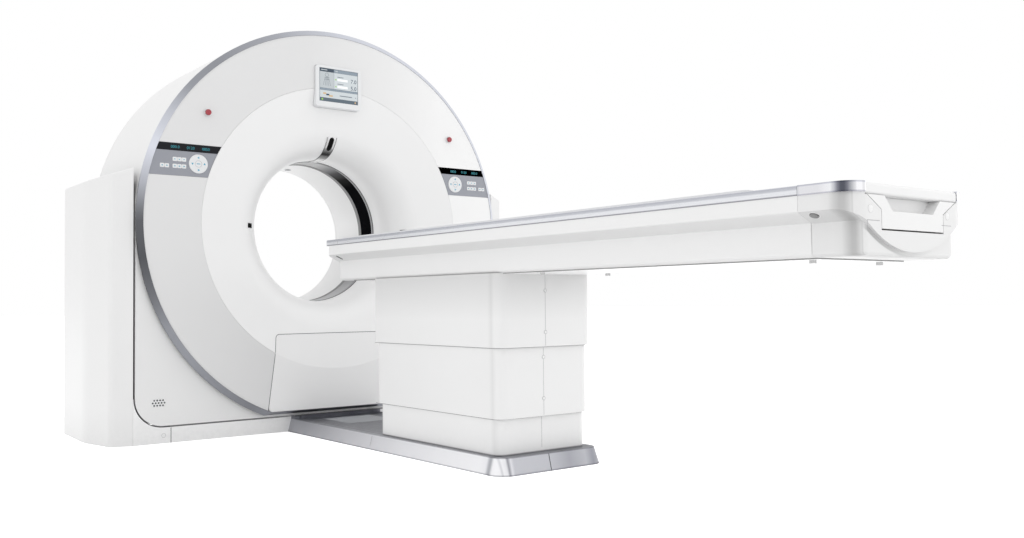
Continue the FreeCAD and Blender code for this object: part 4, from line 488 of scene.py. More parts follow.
# Painted reflections on the chrome laser strip: dark and bright bands up its height.
zoned(laser_chrome, "Z", [
    (1.303, 0.24), (1.312, 0.30), (1.322, 0.18), (1.332, 0.13), (1.342, 0.28), (1.352, 0.40),
    (1.380, 0.45), (1.400, (0.55, 0.55, 0.56))])
# Painted shade on the foot cover: darker round its rounded corners.
zoned(foot_white, "Y", [
    (-3.2912, 0.79), (-3.2785, 0.78), (-3.2765, 0.62), (-3.2745, 0.68), (-3.2690, 0.58),
    (-3.2630, 0.50), (-3.2530, 0.49), (-3.2400, 0.60), (-3.2250, 0.75), (-3.2000, 0.78),
    (-3.1420, 0.78)])
# Painted shade on the faces of the foot and the table that look down.
painted_shade_below(foot_white, 0.84)
painted_shade_below(table_white, 0.86)
# Painted shade on the base: dark lines along its bottom edge and along its top beside the column.
zoned(base_silver, "Z", [
    (0.0, (0.40, 0.40, 0.42)), (0.0030, (0.50, 0.50, 0.53)), (0.0060, (0.86, 0.86, 0.88)),
    (0.0570, (0.86, 0.86, 0.88)), (0.0590, (0.42, 0.42, 0.45)), (0.0610, (0.40, 0.405, 0.43)),
    (0.0745, (0.28, 0.285, 0.305))])
# Painted highlights and reflections on the base's metal: light and dark bands across its width.
zoned(base_silver, "X", [
    (-0.2450, 1.0), (-0.2260, 1.0), (-0.2217, (0.74, 0.74, 0.76)), (-0.2170, 1.0),
    (-0.2060, (0.92, 0.92, 0.93)), (-0.1994, (0.34, 0.34, 0.37)), (-0.1891, (0.80, 0.80, 0.82)),
    (-0.1770, (0.58, 0.585, 0.61)), (-0.0200, (0.55, 0.555, 0.58)),
    (0.0730, (0.40, 0.405, 0.435)), (0.1500, (0.50, 0.505, 0.53)),
    (0.1850, (0.32, 0.325, 0.36)), (0.2100, (0.40, 0.405, 0.43)), (0.2300, (0.90, 0.90, 0.92))])
# Painted light and shade along the base: a dark band round the corner of its sloping end, and
# darker towards the rear.
zoned(base_silver, "Y", [
    (-1.935, 1.0), (-1.875, 1.0), (-1.8630, (0.42, 0.425, 0.45)), (-1.852, (0.55, 0.555, 0.58)),
    (-1.840, (0.95, 0.95, 0.96)), (-1.80, 1.0), (-1.30, (0.92, 0.92, 0.93)),
    (-0.85, (0.72, 0.72, 0.74)), (-0.45, (0.50, 0.505, 0.53))])
# Painted shade in the channel under the arc across the foot's end, fading out towards the right.
foot_lean = math.atan((FOOT_ARC_DROP - RAIL_SEAT + GROOVE_FOOT) / GROOVE_HALF)
shaded_under_arc(foot_white, RAIL_SEAT - FOOT_ARC_DROP + FOOT_ARC_RADIUS / math.cos(foot_lean),
                 FOOT_ARC_RADIUS, deep=0.013, level=0.50)

NODE_FINISH = {
    casing_white: ("side_cover_left", "side_cover_right", "drum_mantle", "front_cover",
                   "rear_cover", "speaker_grille"),
    fascia_white: ("fascia_ring",),
    door_white: ("access_door",),
    cone_white: ("bore_funnel",),
    bore_white: ("bore_liner",),
    window_film: ("scan_window",),
    skirt_white: ("front_skirt",),
    column_white: ("column_cover_lower", "column_cover_middle", "column_cover_upper"),
    foot_white: ("foot_cover",),
    table_white: ("table_cover_left", "table_cover_right", "head_cover",
                  "carriage_end_cover", "push_handle"),
    under_white: ("under_plate",),
    cradle_shell: ("cradle", "carriage"),
    rim_silver: ("rim_ring",),
    rail_silver: ("rail_left", "rail_right"),
    base_silver: ("table_base",),
    grille_grey: ("base_hatch",),
    trim_chrome: ("corner_trims",),
    laser_chrome: ("laser_strip",),
    laser_black: ("side_laser_windows",),
    satin_steel: ("trunnion_bearings", "bearing_outer_race", "bearing_inner_race"),
    drawn_alloy: ("lift_column_fixed", "lift_column_middle", "table_frame", "heat_exchanger"),
    turned_alloy: ("stator_frame", "rotor_drum"),
    brass: ("slip_ring",),
    frame_paint: ("base_frame",),
    drive_paint: ("tilt_gearmotor",),
    housing_paint: ("xray_tube", "detector_arc", "high_voltage_generator", "data_box"),
    dark_paint: ("collimator",),
    bezel_silver: ("display_bezel",),
    screen_slate: ("display_glass",),
    panel_grey: ("control_panel_left", "control_panel_right"),
    key_white: ("jog_pad_left", "jog_pad_right"),
    stop_red: ("emergency_stop_left", "emergency_stop_right"),
    bumper_rubber: ("bumpers",),
    knob_grey: ("release_knob",),
    resin_brown: ("brush_block",),
}
for material, names in NODE_FINISH.items():
    for name in names:
        slots = nodes[name].data.materials
        slots.clear()
        slots.append(material)


# ------------------------------------------------------------------ modelling helpers

def facing(origin, right, up):
    """The placing whose own X runs right, whose Y runs up and whose Z points out."""
    right, up = Vector(right).normalized(), Vector(up).normalized()
    out = right.cross(up)
    columns = Matrix((right, up, out)).transposed().to_4x4()
    return Matrix.Translation(origin) @ columns


def front_at(across, depth, height):
    """A placing that faces forwards, as the gantry's front does."""
    return facing((across, -depth, height), (1, 0, 0), (0, 0, 1))


def left_side_at(across, depth, height):
    """A placing that faces left, as the table's left side does."""
    return facing((across, -depth, height), (0, -1, 0), (0, 0, 1))


def raised(at, height):
    """The same placing, moved out along its own Z."""
    return at @ Matrix.Translation((0, 0, height))


def turned(at, angle):
    """The same placing, turned about its own Z."""
    return at @ Matrix.Rotation(angle, 4, "Z")


def soften_front(bm, thick, lip):
    """Bevel the edges of a flat part's front face."""
    front = [edge for edge in bm.edges
             if min(vert.co.z for vert in edge.verts) > thick * 0.999]
    bmesh.ops.bevel(bm, geom=front, offset=lip, segments=2, profile=0.5, affect="EDGES",
                    material=-1)


def plate(width, height, thick, corner=0.0, lip=0.0, steps=5):
    """A flat plate standing on its own XY plane, with rounded corners and a softened front."""
    bm = bmesh.new()
    bmesh.ops.create_cube(bm, size=1)
    bmesh.ops.scale(bm, vec=(width, height, thick), verts=bm.verts)
    bmesh.ops.translate(bm, vec=(0, 0, thick / 2), verts=bm.verts)
    if corner:
        upright = [edge for edge in bm.edges
                   if (edge.verts[0].co - edge.verts[1].co).xy.length < thick * 1e-3]
        bmesh.ops.bevel(bm, geom=upright, offset=corner, segments=steps, profile=0.5,
                        affect="EDGES", material=-1)
    if lip:
        soften_front(bm, thick, lip)
    return bm


def disc(radius, thick, lip=0.0, sides=32):
    """A round plate standing on its own XY plane."""
    bm = bmesh.new()
    bmesh.ops.create_cone(bm, cap_ends=True, segments=sides, radius1=radius, radius2=radius,
                          depth=thick)
    bmesh.ops.translate(bm, vec=(0, 0, thick / 2), verts=bm.verts)
    if lip:
        soften_front(bm, thick, lip)
    return bm


def hoop(radius, width, thick, sides=40):
    """A flat ring on its own XY plane."""
    bm = bmesh.new()
    inner, outer = radius - width / 2, radius + width / 2
    corners = [bm.verts.new((reach, 0, height)) for reach, height in (
        (inner, 0), (outer, 0), (outer, thick), (inner, thick))]
    face = bm.faces.new(corners)
    bmesh.ops.spin(bm, geom=[face, *face.edges, *face.verts], axis=(0, 0, 1), cent=(0, 0, 0),
                   steps=sides, angle=math.tau, use_merge=True)
    inside = [one for one in bm.faces
              if all(abs(vert.co.y) < 1e-7 and vert.co.x > 0 for vert in one.verts)]
    bmesh.ops.delete(bm, geom=inside, context="FACES_ONLY")
    bmesh.ops.recalc_face_normals(bm, faces=bm.faces)
    return bm


def words(text, height, thick=FILM):
    """Raised figures, centred on their own XY plane."""
    size_to_height = 1.4
    curve = bpy.data.curves.new("figures", "FONT")
    curve.body = text
    curve.size = height * size_to_height
    curve.align_x = "CENTER"
    curve.align_y = "CENTER"
    curve.extrude = thick / 2
    curve.resolution_u = 3
    holder = bpy.data.objects.new("figures", curve)
    mesh = bpy.data.meshes.new_from_object(holder)
    bm = bmesh.new()
    bm.from_mesh(mesh)
    bmesh.ops.translate(bm, vec=(0, 0, thick / 2), verts=bm.verts)
    bpy.data.objects.remove(holder)
    bpy.data.curves.remove(curve)
    bpy.data.meshes.remove(mesh)
    return bm


def triangle(size, thick):
    """A three-sided plate, for the arrows."""
    return disc(size, thick, sides=3)


def bind(name, mesh, body):
    """Put a finished mesh into the scene on its body."""
    obj = bpy.data.objects.new(name, mesh)
    bpy.context.collection.objects.link(obj)
    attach(obj, body)


class Piece:
    """One object that is gathered from small parts, each with its own material."""

    def __init__(self, name, body, slot):
        self.name, self.body, self.slot = name, body, slot
        self.bm = bmesh.new()
        self.materials = []

    def add(self, part, at, material):
        """Take a part's mesh in, at a placing and in a material."""
        if material not in self.materials:
            self.materials.append(material)
        for face in part.faces:
            face.material_index = self.materials.index(material)
        bmesh.ops.transform(part, matrix=at, verts=part.verts)
        carrier = bpy.data.meshes.new("carrier")
        part.to_mesh(carrier)
        part.free()
        self.bm.from_mesh(carrier)
        bpy.data.meshes.remove(carrier)

    def finish(self):
        """Smooth the round faces, keep the sharp edges and put the object into the scene."""
        mesh = bpy.data.meshes.new(self.name)
        for edge in self.bm.edges:
            edge.smooth = len(edge.link_faces) == 2 and edge.calc_face_angle() < SMOOTH_BELOW
        for face in self.bm.faces:
            face.smooth = True
        self.bm.to_mesh(mesh)
        self.bm.free()
        for material in self.materials:
            mesh.materials.append(material)
        bind(self.name, mesh, self.body)


def beads(name, routes, radius, body, material):
    """Thin round lines, one for each route of points: dark joints, and lines of painted shadow."""
    curve = bpy.data.curves.new(name, "CURVE")
    curve.dimensions = "3D"
    curve.bevel_depth = radius
    curve.bevel_resolution = 1
    curve.use_fill_caps = True
    for route in routes:
        spline = curve.splines.new("POLY")
        spline.points.add(len(route) - 1)
        for point, place in zip(spline.points, route):
            point.co = (*place, 1)
    holder = bpy.data.objects.new(name, curve)
    mesh = bpy.data.meshes.new_from_object(holder)
    bpy.data.objects.remove(holder)
    bpy.data.curves.remove(curve)
    mesh.name = name
    mesh.materials.clear()
    mesh.materials.append(material)
    bind(name, mesh, body)


def front_depth(radius):
    """Depth of the gantry's front at a radius: flat ring, cone, then the bend into the bore."""
    turn = math.atan(CONE_SLOPE)
    bend_centre = BORE_RADIUS + BEND_RADIUS
    cone_edge = FASCIA_DEPTH - CONE_DEPTH
    bend_depth = cone_edge + CONE_SLOPE * BEND_RADIUS - BEND_RADIUS / math.cos(turn)
    if radius >= SEAM_RADIUS:
        return FASCIA_DEPTH
    if radius >= bend_centre - BEND_RADIUS * math.sin(turn):
        return FASCIA_DEPTH - (SEAM_RADIUS - radius) * CONE_SLOPE
    return bend_depth + math.sqrt(BEND_RADIUS ** 2 - (bend_centre - radius) ** 2)


def on_front(across, up, proud=0.0):
    """A point on the gantry's front, given from the bore's axis."""
    return (across, -front_depth(math.hypot(across, up)) - proud, AXIS_HEIGHT + up)


# ------------------------------------------------------------------ gantry front

def rounded_route(corners, steps=6):
    """Points along straight runs with rounded corners: corners are (across, up, radius)."""
    route = []
    for i, (across, up, radius) in enumerate(corners):
        here = Vector((across, up))
        if radius == 0 or i in (0, len(corners) - 1):
            route.append(here)
            continue
        back = (Vector(corners[i - 1][:2]) - here).normalized()
        ahead = (Vector(corners[i + 1][:2]) - here).normalized()
        half = back.angle(ahead) / 2
        start = here + back * (radius / math.tan(half))
        end = here + ahead * (radius / math.tan(half))
        for step in range(steps + 1):
            part = step / steps
            route.append(start.lerp(here, part).lerp(here.lerp(end, part), part))
    return route


def subdivided(route, longest):
    """The same route with extra points, so that no run is longer than given."""
    points = [route[0]]
    for ahead in route[1:]:
        base = points[-1]
        count = max(1, math.ceil((ahead - base).length / longest))
        points += [base.lerp(ahead, (i + 1) / count) for i in range(count)]
    return points


def door_gasket():
    """Dark line round the access door, wider at its foot, round at its upper corners."""
    foot_half, foot_drop = 0.3596, 0.853
    top_half, top_drop, corner = 0.3124, 0.5026, 0.021
    outline = [(-foot_half, -foot_drop, 0), (-top_half, -top_drop, corner),
               (top_half, -top_drop, corner), (foot_half, -foot_drop, 0)]
    route = [on_front(point.x, point.y, -GASKET_SUNK)
             for point in subdivided(rounded_route(outline), 0.02)]
    beads("door_gasket", [route], 0.0014, "tilting_gantry", gasket_and_shadow)


def rim_joint():
    """Line between the flat ring and the rim: an arc that the rim's flat foot closes."""
    steps = 120
    foot_half = math.sqrt(RIM_INNER ** 2 - RIM_FOOT ** 2)
    foot_turn = math.asin(RIM_FOOT / RIM_INNER)
    route = [on_front(-foot_half, -RIM_FOOT, -JOINT_SUNK)]
    for step in range(steps + 1):
        turn = math.pi + foot_turn - (math.pi + 2 * foot_turn) * step / steps
        route.append(on_front(RIM_INNER * math.cos(turn), RIM_INNER * math.sin(turn),
                              -JOINT_SUNK))
    route.append(route[0])
    beads("rim_joint", [route], 0.0011, "tilting_gantry", joint_and_shade_grey)


def window_edges():
    """Turned bands beside the scan window: two dark gaskets, a grey lip and a soft shade."""
    bands = ((-0.0765, 0.0075, dark_paint), (-0.0665, 0.0125, joint_and_shade_grey),
             (-0.0595, 0.0015, dark_paint), (0.0615, 0.027, shade_grey))
    edges = Piece("window_edges", "tilting_gantry", "window_grey")
    for start, long, paint in bands:
        edges.add(hoop(BORE_RADIUS - 0.0009, 0.0010, long, sides=120),
                  facing((0, start + long / 2, AXIS_HEIGHT), (1, 0, 0), (0, 0, 1)), paint)
    edges.finish()


def speaker_holes():
    """Three offset rows of small holes in the loudspeaker of the lower casing."""
    middle, foot, pitch, row_rise = -0.841, 0.1631, 0.0125, 0.0109
    holes = Piece("speaker_holes", "tilting_gantry", "grille_dark")
    for row, count in enumerate((4, 5, 4)):
        for place in range(count):
            across = middle + pitch * (place - (count - 1) / 2)
            holes.add(disc(0.0039, 0.0006, sides=16),
                      front_at(across, GRILLE_DEPTH, foot + row_rise * row), dark_paint)
    holes.finish()


def screen_spot(across, down):
    """A placing on the display's glass, by shares of the picture's width and height."""
    return front_at((across - 0.5) * SCREEN_WIDE, GLASS_DEPTH,
                    SCREEN_FOOT + SCREEN_TALL * (1 - down))


def field(left, right, top, bottom, layers, corner=0.0):
    """A printed field of the picture and its placing; edges are shares of the picture."""
    part = plate((right - left) * SCREEN_WIDE, (bottom - top) * SCREEN_TALL, FILM * layers, corner)
    return part, screen_spot((left + right) / 2, (top + bottom) / 2)


def display_picture():
    """The display's plain picture: patient outline, two figures and a table of settings."""
    display = Piece("display_picture", "tilting_gantry", "display_screen")
    grounds = (
        (0.01, 0.99, 0.01, 0.105, 1, screen_header), (0.01, 0.37, 0.01, 0.105, 2, screen_tab),
        (0.04, 0.20, 0.045, 0.065, 3, screen_pale), (0.41, 0.47, 0.04, 0.075, 3, screen_mist),
        (0.01, 0.37, 0.11, 0.60, 1, screen_mist), (0.375, 0.99, 0.11, 0.60, 1, screen_pale),
        (0.01, 0.99, 0.605, 0.665, 1, screen_header), (0.01, 0.99, 0.67, 0.89, 1, screen_pale),
        (0.01, 0.99, 0.895, 0.99, 1, screen_slate))
    for left, right, top, bottom, layers, tone in grounds:
        display.add(*field(left, right, top, bottom, layers), tone)

    for row, figures in ((0.31, "7.0"), (0.52, "5.0")):
        display.add(*field(0.46, 0.73, row - 0.035, row + 0.035, 2, corner=0.001), screen_white)
        display.add(*field(0.46, 0.62, row - 0.095, row - 0.075, 2), screen_line)
        display.add(disc(0.0032, FILM * 2), screen_spot(0.42, row), screen_green)
        display.add(words(figures, 0.019), raised(screen_spot(0.885, row), FILM), screen_ink)

    patient = 0.19
    display.add(hoop(0.009, 0.0014, FILM * 2), screen_spot(patient, 0.20), screen_line)
    for lean in (-0.5, -0.22, 0.0, 0.22, 0.5):
        display.add(plate(0.0013, 0.040, FILM * 2),
                    turned(screen_spot(patient + lean * 0.14, 0.40), lean * 0.5), screen_line)
    for row in (0.27, 0.33):
        display.add(*field(0.13, 0.25, row, row + 0.01, 3), screen_line)

    for left, right, top, tone in ((0.09, 0.17, 0.74, screen_tan), (0.17, 0.25, 0.77, screen_ink),
                                   (0.24, 0.34, 0.80, screen_tan)):
        display.add(*field(left, right, top, top + 0.045, 2, corner=0.001), tone)
    display.add(*field(0.52, 0.84, 0.775, 0.80, 2), screen_line)
    display.add(triangle(0.003, FILM * 2), screen_spot(0.94, 0.79), screen_line)
    for across, tone in ((0.07, screen_green), (0.93, screen_tan)):
        display.add(disc(0.004, FILM * 2), screen_spot(across, 0.943), tone)
    display.finish()


def readout_band(sign):
    """The black strip between the cone's joint and the rim, its ends following both arcs."""
    low, high = 0.3052, 0.3376
    seam_gap, rim_gap = 0.0012, 0.0016
    bm = bmesh.new()
    bmesh.ops.create_grid(bm, x_segments=24, y_segments=8, size=0.5)
    for vert in bm.verts:
        up = low + (vert.co.y + 0.5) * (high - low)
        inner = math.sqrt((SEAM_RADIUS + seam_gap) ** 2 - up ** 2)
        outer = math.sqrt((RIM_INNER - rim_gap) ** 2 - up ** 2)
        across = inner + (vert.co.x + 0.5) * (outer - inner)
        vert.co = (sign * across, -FASCIA_DEPTH - 0.0001, AXIS_HEIGHT + up)
    if sign < 0:
        bmesh.ops.reverse_faces(bm, faces=bm.faces)
    bmesh.ops.solidify(bm, geom=bm.faces, thickness=-0.0007)
    bmesh.ops.recalc_face_normals(bm, faces=bm.faces)
    return bm


def readouts(side, sign, shift):
    """The strip above the keys with its three lit figures."""
    band = Piece(f"readout_{side}", "tilting_gantry", "laser_black")
    band.add(readout_band(sign), Matrix.Identity(4), readout_black)
    for across, figures in ((0.650, "0850"), (0.718, "0120"), (0.786, "000.0")):
        spot = front_at(sign * across + shift, FASCIA_DEPTH + 0.0008, AXIS_HEIGHT + 0.3205)
        band.add(words(figures, 0.0125), spot, digit_cyan)
    band.finish()


def key_faces(side, sign, shift):
    """White faces of the eight keys: arrows on the upper row, crosses on the lower one."""
    pitch, thick = 0.0201, 0.0014
    upper, lower = 0.268, 0.238
    places = [(0.7675 + pitch * place, up) for up in (upper, lower) for place in (-1, 0, 1)]
    places += [(0.8318 + pitch * place, lower) for place in (-0.5, 0.5)]
    keys = Piece(f"keys_{side}", "tilting_gantry", "pad_white")
    for across, up in places:
        spot = front_at(sign * across + shift, FASCIA_DEPTH, AXIS_HEIGHT + up)
        keys.add(plate(0.0192, 0.0178, thick, corner=0.003, lip=0.0005, steps=3), spot, key_white)
        mark = raised(spot, thick)
        if up == upper:
            keys.add(triangle(0.0038, FILM), turned(mark, across * 40), mark_cyan)
        else:
            keys.add(plate(0.008, 0.0022, FILM), mark, mark_cyan)
            keys.add(plate(0.0022, 0.0065, FILM), mark, mark_cyan)
    keys.finish()


def pad_marks(side, sign):
    """Marks on the round pad: a ring and a bar in the middle, four arrows round them."""
    pad = Piece(f"pad_marks_{side}", f"pad_{side}", "pad_white")
    centre = front_at(sign * 0.6838, FASCIA_DEPTH + 0.003, AXIS_HEIGHT + 0.254)
    pad.add(plate(0.016, 0.0035, FILM, corner=0.0015), centre, mark_cyan)
    pad.add(hoop(0.0145, 0.0012, FILM), centre, joint_and_shade_grey)
    for quarter in range(4):
        about = turned(centre, math.radians(90 * quarter))
        pad.add(triangle(0.0062, FILM), about @ Matrix.Translation((0.027, 0, 0)), mark_cyan)
    pad.finish()


def stop_ring(side, sign):
    """The silver ring round an emergency stop's button."""
    ring = Piece(f"stop_ring_{side}", "tilting_gantry", "display_case")
    ring.add(hoop(0.0160, 0.004, 0.0012),
             front_at(sign * 0.643, FASCIA_DEPTH + 0.005, AXIS_HEIGHT + 0.485), bezel_silver)
    ring.finish()


def bent_oval(width, low, high, proud, thick):
    """A slim oval that follows the front's bend upwards from the bore."""
    bm = bmesh.new()
    bmesh.ops.create_grid(bm, x_segments=8, y_segments=16, size=0.5)
    half, tall = width / 2, high - low
    for vert in bm.verts:
        share = vert.co.y + 0.5
        end = min(share, 1 - share) * tall
        reach = half if end >= half else math.sqrt(max(half ** 2 - (half - end) ** 2, 1e-9))
        vert.co = on_front(vert.co.x * 2 * reach, low + share * tall, proud)
    bmesh.ops.solidify(bm, geom=bm.faces, thickness=thick)
    bmesh.ops.recalc_face_normals(bm, faces=bm.faces)
    return bm


def laser_fittings():
    """The dark lens in the laser strip above the bore, and the strip's two dark edges."""
    laser = Piece("laser_lens", "tilting_gantry", "laser_black")
    laser.add(bent_oval(0.0250, 0.385, 0.4435, LASER_PROUD, 0.0012), Matrix.Identity(4),
              laser_black)
    laser.finish()
    half_turn, low, tall, widening, steps = math.radians(3.75), 0.3515, 0.0925, 0.0006, 24
    sides = [[on_front(sign * (BORE_RADIUS + widening * step) * math.sin(half_turn),
                       low + tall * step / steps, LASER_PROUD) for step in range(steps + 1)]
             for sign in (-1, 1)]
    beads("laser_edges", sides, 0.0012, "tilting_gantry", dark_paint)


def bore_sensor():
    """A small grey oval on the ceiling of the bore, towards its rear end."""
    sensor = Piece("bore_sensor", "tilting_gantry", "grille_dark")
    spot = facing((0.028, 0.259, AXIS_HEIGHT + BORE_RADIUS - 0.0011), (1, 0, 0), (0, -1, 0))
    sensor.add(plate(0.028, 0.042, 0.0015, corner=0.0139, lip=0.0005), spot, grille_grey)
    sensor.finish()


def casing_shadows():
    """Dark beads deep in the gap under the lower casing's rounded corners: painted shadow in the
    gap.
    """
    centre, height, depth, radius, steps = 0.820, 0.195, -0.303, 0.1250, 14
    turns = [math.radians(180 + 90 * step / steps) for step in range(steps + 1)]
    for sign, name in ((-1, "casing_shadow_left"), (1, "casing_shadow_right")):
        route = [(sign * (centre - radius * math.cos(turn)), depth,
                  height + radius * math.sin(turn)) for turn in turns]
        route.append((sign * 0.790, depth, 0.070))
        beads(name, [route], 0.0022, "stand", gasket_and_shadow)


def skirt_caps():
    """A screw cap and an upright joint near each end of the skirt."""
    caps = Piece("skirt_caps", "stand", "skirt_grey")
    for sign in (-1, 1):
        spot = front_at(sign * 0.820, SKIRT_DEPTH - 0.0002, 0.034)
        caps.add(hoop(0.0085, 0.0012, 0.0006), spot, joint_and_shade_grey)
        caps.add(disc(0.0078, 0.0011, lip=0.0004), spot, skirt_white)
        caps.add(plate(0.0030, 0.064, FILM), front_at(sign * 0.788, SKIRT_DEPTH, 0.0325), gasket_and_shadow)
    caps.finish()


# ------------------------------------------------------------------ lift column and base

def column_joint(body, name, depth, low, high, caps):
    """The upright joint on the end of one column cover, with its screw caps."""
    across = -0.010
    line = Piece(name, body, "column_white")
    line.add(plate(LINE, high - low, FILM), front_at(across, depth, (low + high) / 2), joint_and_shade_grey)
    for height in caps:
        spot = front_at(across, depth, height)
        line.add(hoop(0.0062, 0.0012, 0.0006), spot, joint_and_shade_grey)
        line.add(disc(0.0055, 0.0011, lip=0.0004), spot, column_white)
    line.finish()


def column_shade(body, name, half, front, height):
    """The dark line under the foot of a column cover, round the next cover's three sides: a painted
    shadow.
    """
    proud, corner, rear, steps = 0.0014, 0.037, -1.05, 8
    across, ahead = half + proud, front + proud
    turns = [math.radians(90 * step / steps) for step in range(steps + 1)]
    left = [(-across + corner * (1 - math.cos(turn)), -ahead + corner * (1 - math.sin(turn)),
             height) for turn in turns]
    route = [(-across, rear, height), *left]
    route += [(-x, y, height) for x, y, height in reversed(left)]
    route.append((across, rear, height))
    beads(name, [route], 0.0011, body, joint_and_shade_grey)


def base_seam():
    """Joints between the base's metal covers, on its sloping end and its left side."""
    lean = (0.2577, 0.9662)          # along and up the slope of the base's edge
    seam = Piece("base_seam", "stand", "base_paint")
    seam.add(plate(0.0026, 0.060, 0.0004),
             facing((-0.018, -1.9232, 0.0300), (1, 0, 0), (0, *lean)), dark_paint)
    seam.add(plate(LINE * 1.5, 0.040, FILM),
             facing((-0.2370, -1.060, 0.0340), (0, -1, 0), (lean[0], 0, lean[1])), joint_and_shade_grey)
    seam.finish()


# ------------------------------------------------------------------ table

def rail_seam():
    """The joint near the gantry's end of the left rail."""
    seam = Piece("rail_seam", "table", "rail_alloy")
    seam.add(plate(LINE, 0.0185, 0.0002), left_side_at(-0.262, 0.829, 0.8515), joint_and_shade_grey)
    seam.finish()


def foot_caps():
    """On the foot's end: two round caps, the joints beside the handle, two side creases."""
    foot = Piece("foot_caps", "table", "table_white")
    for across, height in ((-0.1878, 0.802), (0.1605, 0.7998)):
        spot = front_at(across, FOOT_DEPTH, height)
        foot.add(hoop(0.0100, 0.0007, 0.0004), spot, foot_line)
        foot.add(disc(0.0096, 0.0006, lip=0.0002), spot, table_white)
    for left, right in ((-0.202, -0.150), (0.132, 0.178)):
        foot.add(plate(right - left, LINE, FILM),
                 front_at((left + right) / 2, FOOT_DEPTH, 0.775), joint_and_shade_grey)
    foot.add(plate(LINE, 0.024, FILM), front_at(-0.2015, FOOT_DEPTH, 0.7635), joint_and_shade_grey)
    for sign in (-1, 1):
        foot.add(plate(0.0016, 0.072, 0.0002),
                 facing((sign * 0.2061, -3.1424, 0.737), (0, sign, 0), (0, 0, 1)), foot_line)
    foot.finish()


def on_left_groove(share, depth):
    """A placing on the left groove; share runs from its inner edge to its outer edge."""
    across = -GROOVE_HALF - share * (BAND_HALF - GROOVE_HALF)
    height = GROOVE_FOOT + share * (GROOVE_TOP - GROOVE_FOOT)
    return facing((across, -depth, height), (0, -1, 0), (-GROOVE_RISE[0], 0, GROOVE_RISE[1]))


def groove_fittings():
    """A dark slot near the groove's gantry end and a pale ring round the release knob."""
    grooves = Piece("groove_fittings", "table", "grille_dark")
    grooves.add(plate(0.013, 0.034, 0.0008, corner=0.006), on_left_groove(0.50, 0.7955), dark_paint)
    grooves.add(hoop(0.0140, 0.003, 0.0010), on_left_groove(0.635, 3.1755), table_white)
    grooves.finish()


def under_edge():
    """The plate under the table's beam: grey round its edge, a painted shadow line, and pale below,
    a white lightened as painted light.
    """
    middle = -2.0
    under = Piece("under_edge", "table", "grille_dark")
    for width, length, drop, thick, paint in ((0.388, 2.300, 0.0027, 0.0026, shade_grey),
                                              (0.386, 2.298, 0.0030, 0.0003, under_white)):
        under.add(plate(width, length, thick),
                  facing((0, middle, BOX_FOOT - drop), (1, 0, 0), (0, 1, 0)), paint)
    under.finish()


door_gasket()
rim_joint()
window_edges()
speaker_holes()
display_picture()
for side, sign, shift in (("left", -1, 0.0), ("right", 1, 0.0225)):
    readouts(side, sign, shift)
    key_faces(side, sign, shift)
    pad_marks(side, sign)
    stop_ring(side, sign)
laser_fittings()
bore_sensor()
casing_shadows()
skirt_caps()
column_joint("table", "column_joint_upper", UPPER_END, low=0.436, high=0.686, caps=(0.631, 0.484))
column_joint("column_middle", "column_joint_middle", MIDDLE_END, low=0.190, high=0.430,
             caps=(0.395, 0.249))
column_joint("stand", "column_joint_lower", LOWER_END, low=0.076, high=0.184, caps=())
column_shade("table", "column_shade_upper", half=0.209, front=MIDDLE_END, height=0.4316)
column_shade("column_middle", "column_shade_middle", half=0.205, front=LOWER_END, height=0.1856)
base_seam()
rail_seam()
foot_caps()
groove_fittings()
under_edge()


# ------------------------------------------------------------------ floor, light and camera

def seen_white(tree):
    """1 for rays that show the background by themselves, in glass or in metal."""
    path = tree.nodes.new("ShaderNodeLightPath")
    seen = sum_in(tree, "MAXIMUM", path.outputs["Is Camera Ray"], path.outputs["Is Glossy Ray"])
    return sum_in(tree, "MAXIMUM", seen, path.outputs["Is Transmission Ray"])


def stage_floor():
    """A plain pale floor, lifted to white for the camera but still holding the shadow."""
    lift_seen, lift_lit = 0.54, 0.06
    bm = bmesh.new()
    bmesh.ops.create_grid(bm, x_segments=1, y_segments=1, size=60)
    mesh = bpy.data.meshes.new("floor")
    bm.to_mesh(mesh)
    bm.free()
    floor = bpy.data.objects.new("floor", mesh)
    bpy.context.collection.objects.link(floor)
    material = bpy.data.materials.new("floor_white")
    material.use_nodes = True
    tree = material.node_tree
    skin = tree.nodes["Principled BSDF"]
    skin.inputs["Base Color"].default_value = (0.88, 0.88, 0.88, 1)
    skin.inputs["Roughness"].default_value = 0.8
    skin.inputs["Specular IOR Level"].default_value = 0.1
    skin.inputs["Emission Color"].default_value = (1, 1, 1, 1)
    lifted = sum_in(tree, "MULTIPLY_ADD", seen_white(tree), lift_seen, lift_lit)
    tree.links.new(lifted, skin.inputs["Emission Strength"])
    mesh.materials.append(material)


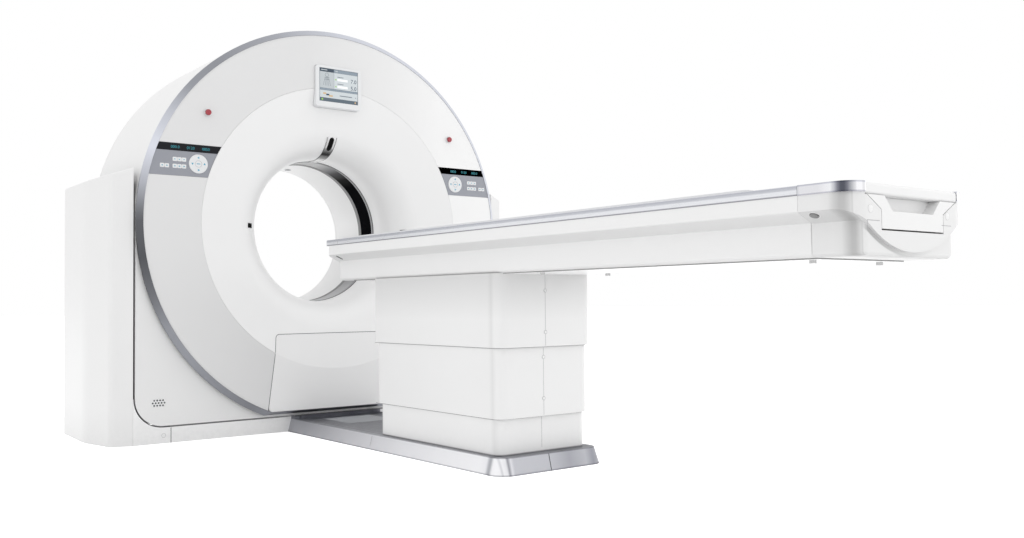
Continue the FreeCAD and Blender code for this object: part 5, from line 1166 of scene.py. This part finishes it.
def studio_world(level):
    """Even white light from all round at the level, and plain white where it is seen."""
    world = bpy.data.worlds.new("studio")
    bpy.context.scene.world = world
    world.use_nodes = True
    tree = world.node_tree
    back = tree.nodes["Background"]
    back.inputs["Color"].default_value = (1, 1, 1, 1)
    strength = sum_in(tree, "MULTIPLY_ADD", seen_white(tree), 1 - level, level)
    tree.links.new(strength, back.inputs["Strength"])


def softbox(name, place, aim, width, height, power):
    """A large soft lamp that the camera doesn't see."""
    light = bpy.data.lights.new(name, "AREA")
    light.shape = "RECTANGLE"
    light.size, light.size_y = width, height
    light.energy = power
    lamp = bpy.data.objects.new(name, light)
    bpy.context.collection.objects.link(lamp)
    lamp.location = place
    lamp.visible_camera = False
    lamp.rotation_euler = (Vector(aim) - Vector(place)).to_track_quat("-Z", "Y").to_euler()


def studio_camera(place, forward, upward, lens):
    """The camera that was fitted to the photograph, given by its place and two directions."""
    data = bpy.data.cameras.new("camera")
    data.sensor_width = 36
    data.lens = lens
    data.clip_end = 200
    camera = bpy.data.objects.new("camera", data)
    bpy.context.collection.objects.link(camera)
    forward = Vector(forward).normalized()
    rightward = forward.cross(Vector(upward)).normalized()
    turn = Matrix((rightward, rightward.cross(forward), -forward)).transposed().to_4x4()
    camera.matrix_world = Matrix.Translation(place) @ turn
    bpy.context.scene.camera = camera


stage_floor()
studio_world(level=1.02)
softbox("top_light", (0.0, -1.5, 6.0), (0, -1.2, 0.8), width=6.0, height=6.0, power=20)
softbox("left_light", (-6.0, -1.5, 3.0), (0, -1.0, 0.9), width=5.0, height=3.5, power=6)
softbox("front_light", (1.5, -8.5, 2.6), (0, -1.0, 0.9), width=4.0, height=3.0, power=7)
softbox("right_light", (5.0, -4.5, 2.6), (0, -1.2, 0.8), width=4.0, height=3.0, power=25)
softbox("bore_light", (-0.45, 1.3, 0.95), (0.35, 0.0, 0.95), width=0.5, height=0.5, power=1.2)
studio_camera((-2.2709, -4.5830, 0.5918), forward=(0.6177, 0.7857, 0.0333),
              upward=(-0.0129, -0.0322, 0.9994), lens=34.73)
bpy.context.scene.view_settings.view_transform = "Standard"
